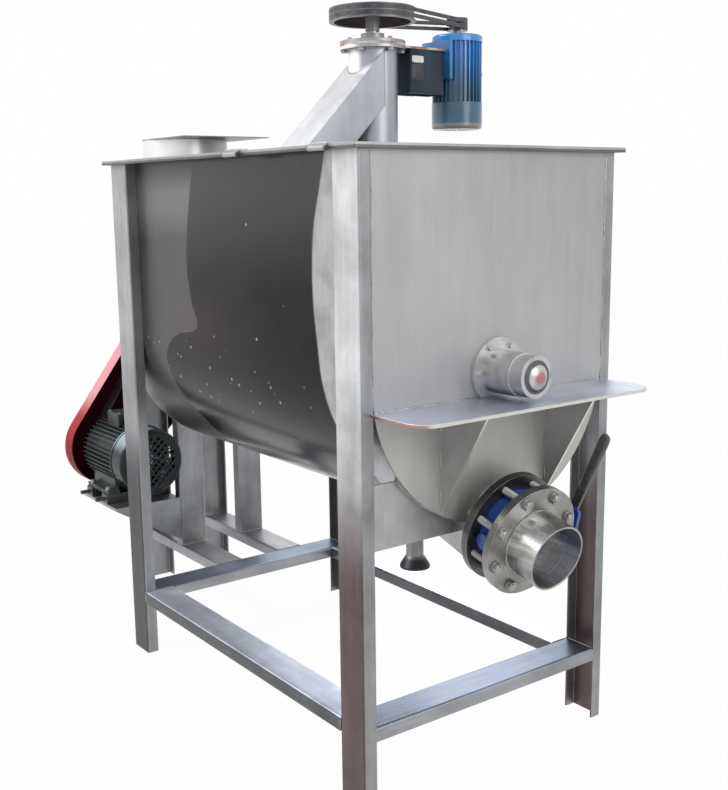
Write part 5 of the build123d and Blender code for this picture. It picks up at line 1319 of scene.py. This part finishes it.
def makeFloor():
    mesh = bpy.data.meshes.new("floor")
    reach = studio["floorReach"]
    corners = [(-reach, -reach, 0), (reach, -reach, 0), (reach, reach, 0), (-reach, reach, 0)]
    mesh.from_pydata(corners, [], [(0, 1, 2, 3)])
    floor = bpy.data.objects.new("floor", mesh)
    bpy.context.scene.collection.objects.link(floor)
    material = bpy.data.materials.new("floorPale")
    material.use_nodes = True
    tree = material.node_tree
    tree.nodes.clear()
    output = tree.nodes.new("ShaderNodeOutputMaterial")
    diffuse = tree.nodes.new("ShaderNodeBsdfDiffuse")
    diffuse.inputs["Color"].default_value = (studio["floorTone"],) * 3 + (1,)
    glow = tree.nodes.new("ShaderNodeEmission")
    blend = tree.nodes.new("ShaderNodeMixShader")
    tree.links.new(times(tree, seesWhite(tree), studio["whiteShare"]), blend.inputs[0])
    tree.links.new(diffuse.outputs[0], blend.inputs[1])
    tree.links.new(glow.outputs[0], blend.inputs[2])
    tree.links.new(blend.outputs[0], output.inputs[0])
    mesh.materials.append(material)


def makeWorld():
    world = bpy.data.worlds.new("studioWhite")
    bpy.context.scene.world = world
    world.use_nodes = True
    tree = world.node_tree
    tree.nodes.clear()
    output = tree.nodes.new("ShaderNodeOutputWorld")
    background = tree.nodes.new("ShaderNodeBackground")
    background.inputs["Color"].default_value = (1, 1, 1, 1)
    strength = plus(tree, times(tree, seesWhite(tree), 1 - studio["surround"]), studio["surround"])
    tree.links.new(strength, background.inputs["Strength"])  # white where seen, dimmer as light
    tree.links.new(background.outputs[0], output.inputs[0])


def standAt(thing, side, up, back, place):
    # local X, Y and Z of a lamp or camera, and where it stands
    rows = [[float(v[i]) for v in (side, up, back, place)] for i in range(3)]
    thing.matrix_world = Matrix(rows + [[0, 0, 0, 1]])


def aimed(thing, place, target):
    # turned so that local -Z looks from the place to the target
    side, up, way = basis(np.asarray(place, float) - np.asarray(target, float))
    standAt(thing, side, up, way, place)


def makeLight(name, spec):
    light = bpy.data.lights.new(name, "AREA")
    light.shape = "DISK"
    light.size = spec["size"]
    light.energy = spec["power"]
    lamp = bpy.data.objects.new(name, light)
    bpy.context.scene.collection.objects.link(lamp)
    aimed(lamp, spec["place"], studio["target"])


makeFloor()
makeWorld()
for name in ("key", "fill", "rear"):
    makeLight(name, studio[name])

# camera worked out from the photograph: angles in degrees, focal length in pixels of a picture 790 tall
camera = {
    "place": (2.78398, -1.83322, 1.46099),
    "yaw": 53.5717,
    "pitch": -10.3267,
    "roll": -0.7264,
    "focal": 1089.12,
    "tall": 790,
    "sensor": 36.0,
}


def makeCamera():
    yaw, pitch, roll = (math.radians(camera[k]) for k in ("yaw", "pitch", "roll"))
    way = np.array([-math.sin(yaw) * math.cos(pitch), math.cos(yaw) * math.cos(pitch), math.sin(pitch)])
    level = np.array([math.cos(yaw), math.sin(yaw), 0])
    above = np.cross(level, way)
    right = math.cos(roll) * level + math.sin(roll) * above
    up = -math.sin(roll) * level + math.cos(roll) * above
    data = bpy.data.cameras.new("camera")
    data.sensor_width = camera["sensor"]
    data.lens = camera["focal"] * camera["sensor"] / camera["tall"]  # the sensor lies along the longer side
    data.clip_end = 200
    eye = bpy.data.objects.new("camera", data)
    bpy.context.scene.collection.objects.link(eye)
    standAt(eye, right, up, -way, camera["place"])
    bpy.context.scene.camera = eye


makeCamera()
bpy.context.scene.view_settings.view_transform = "Standard"
print("studio and camera set")
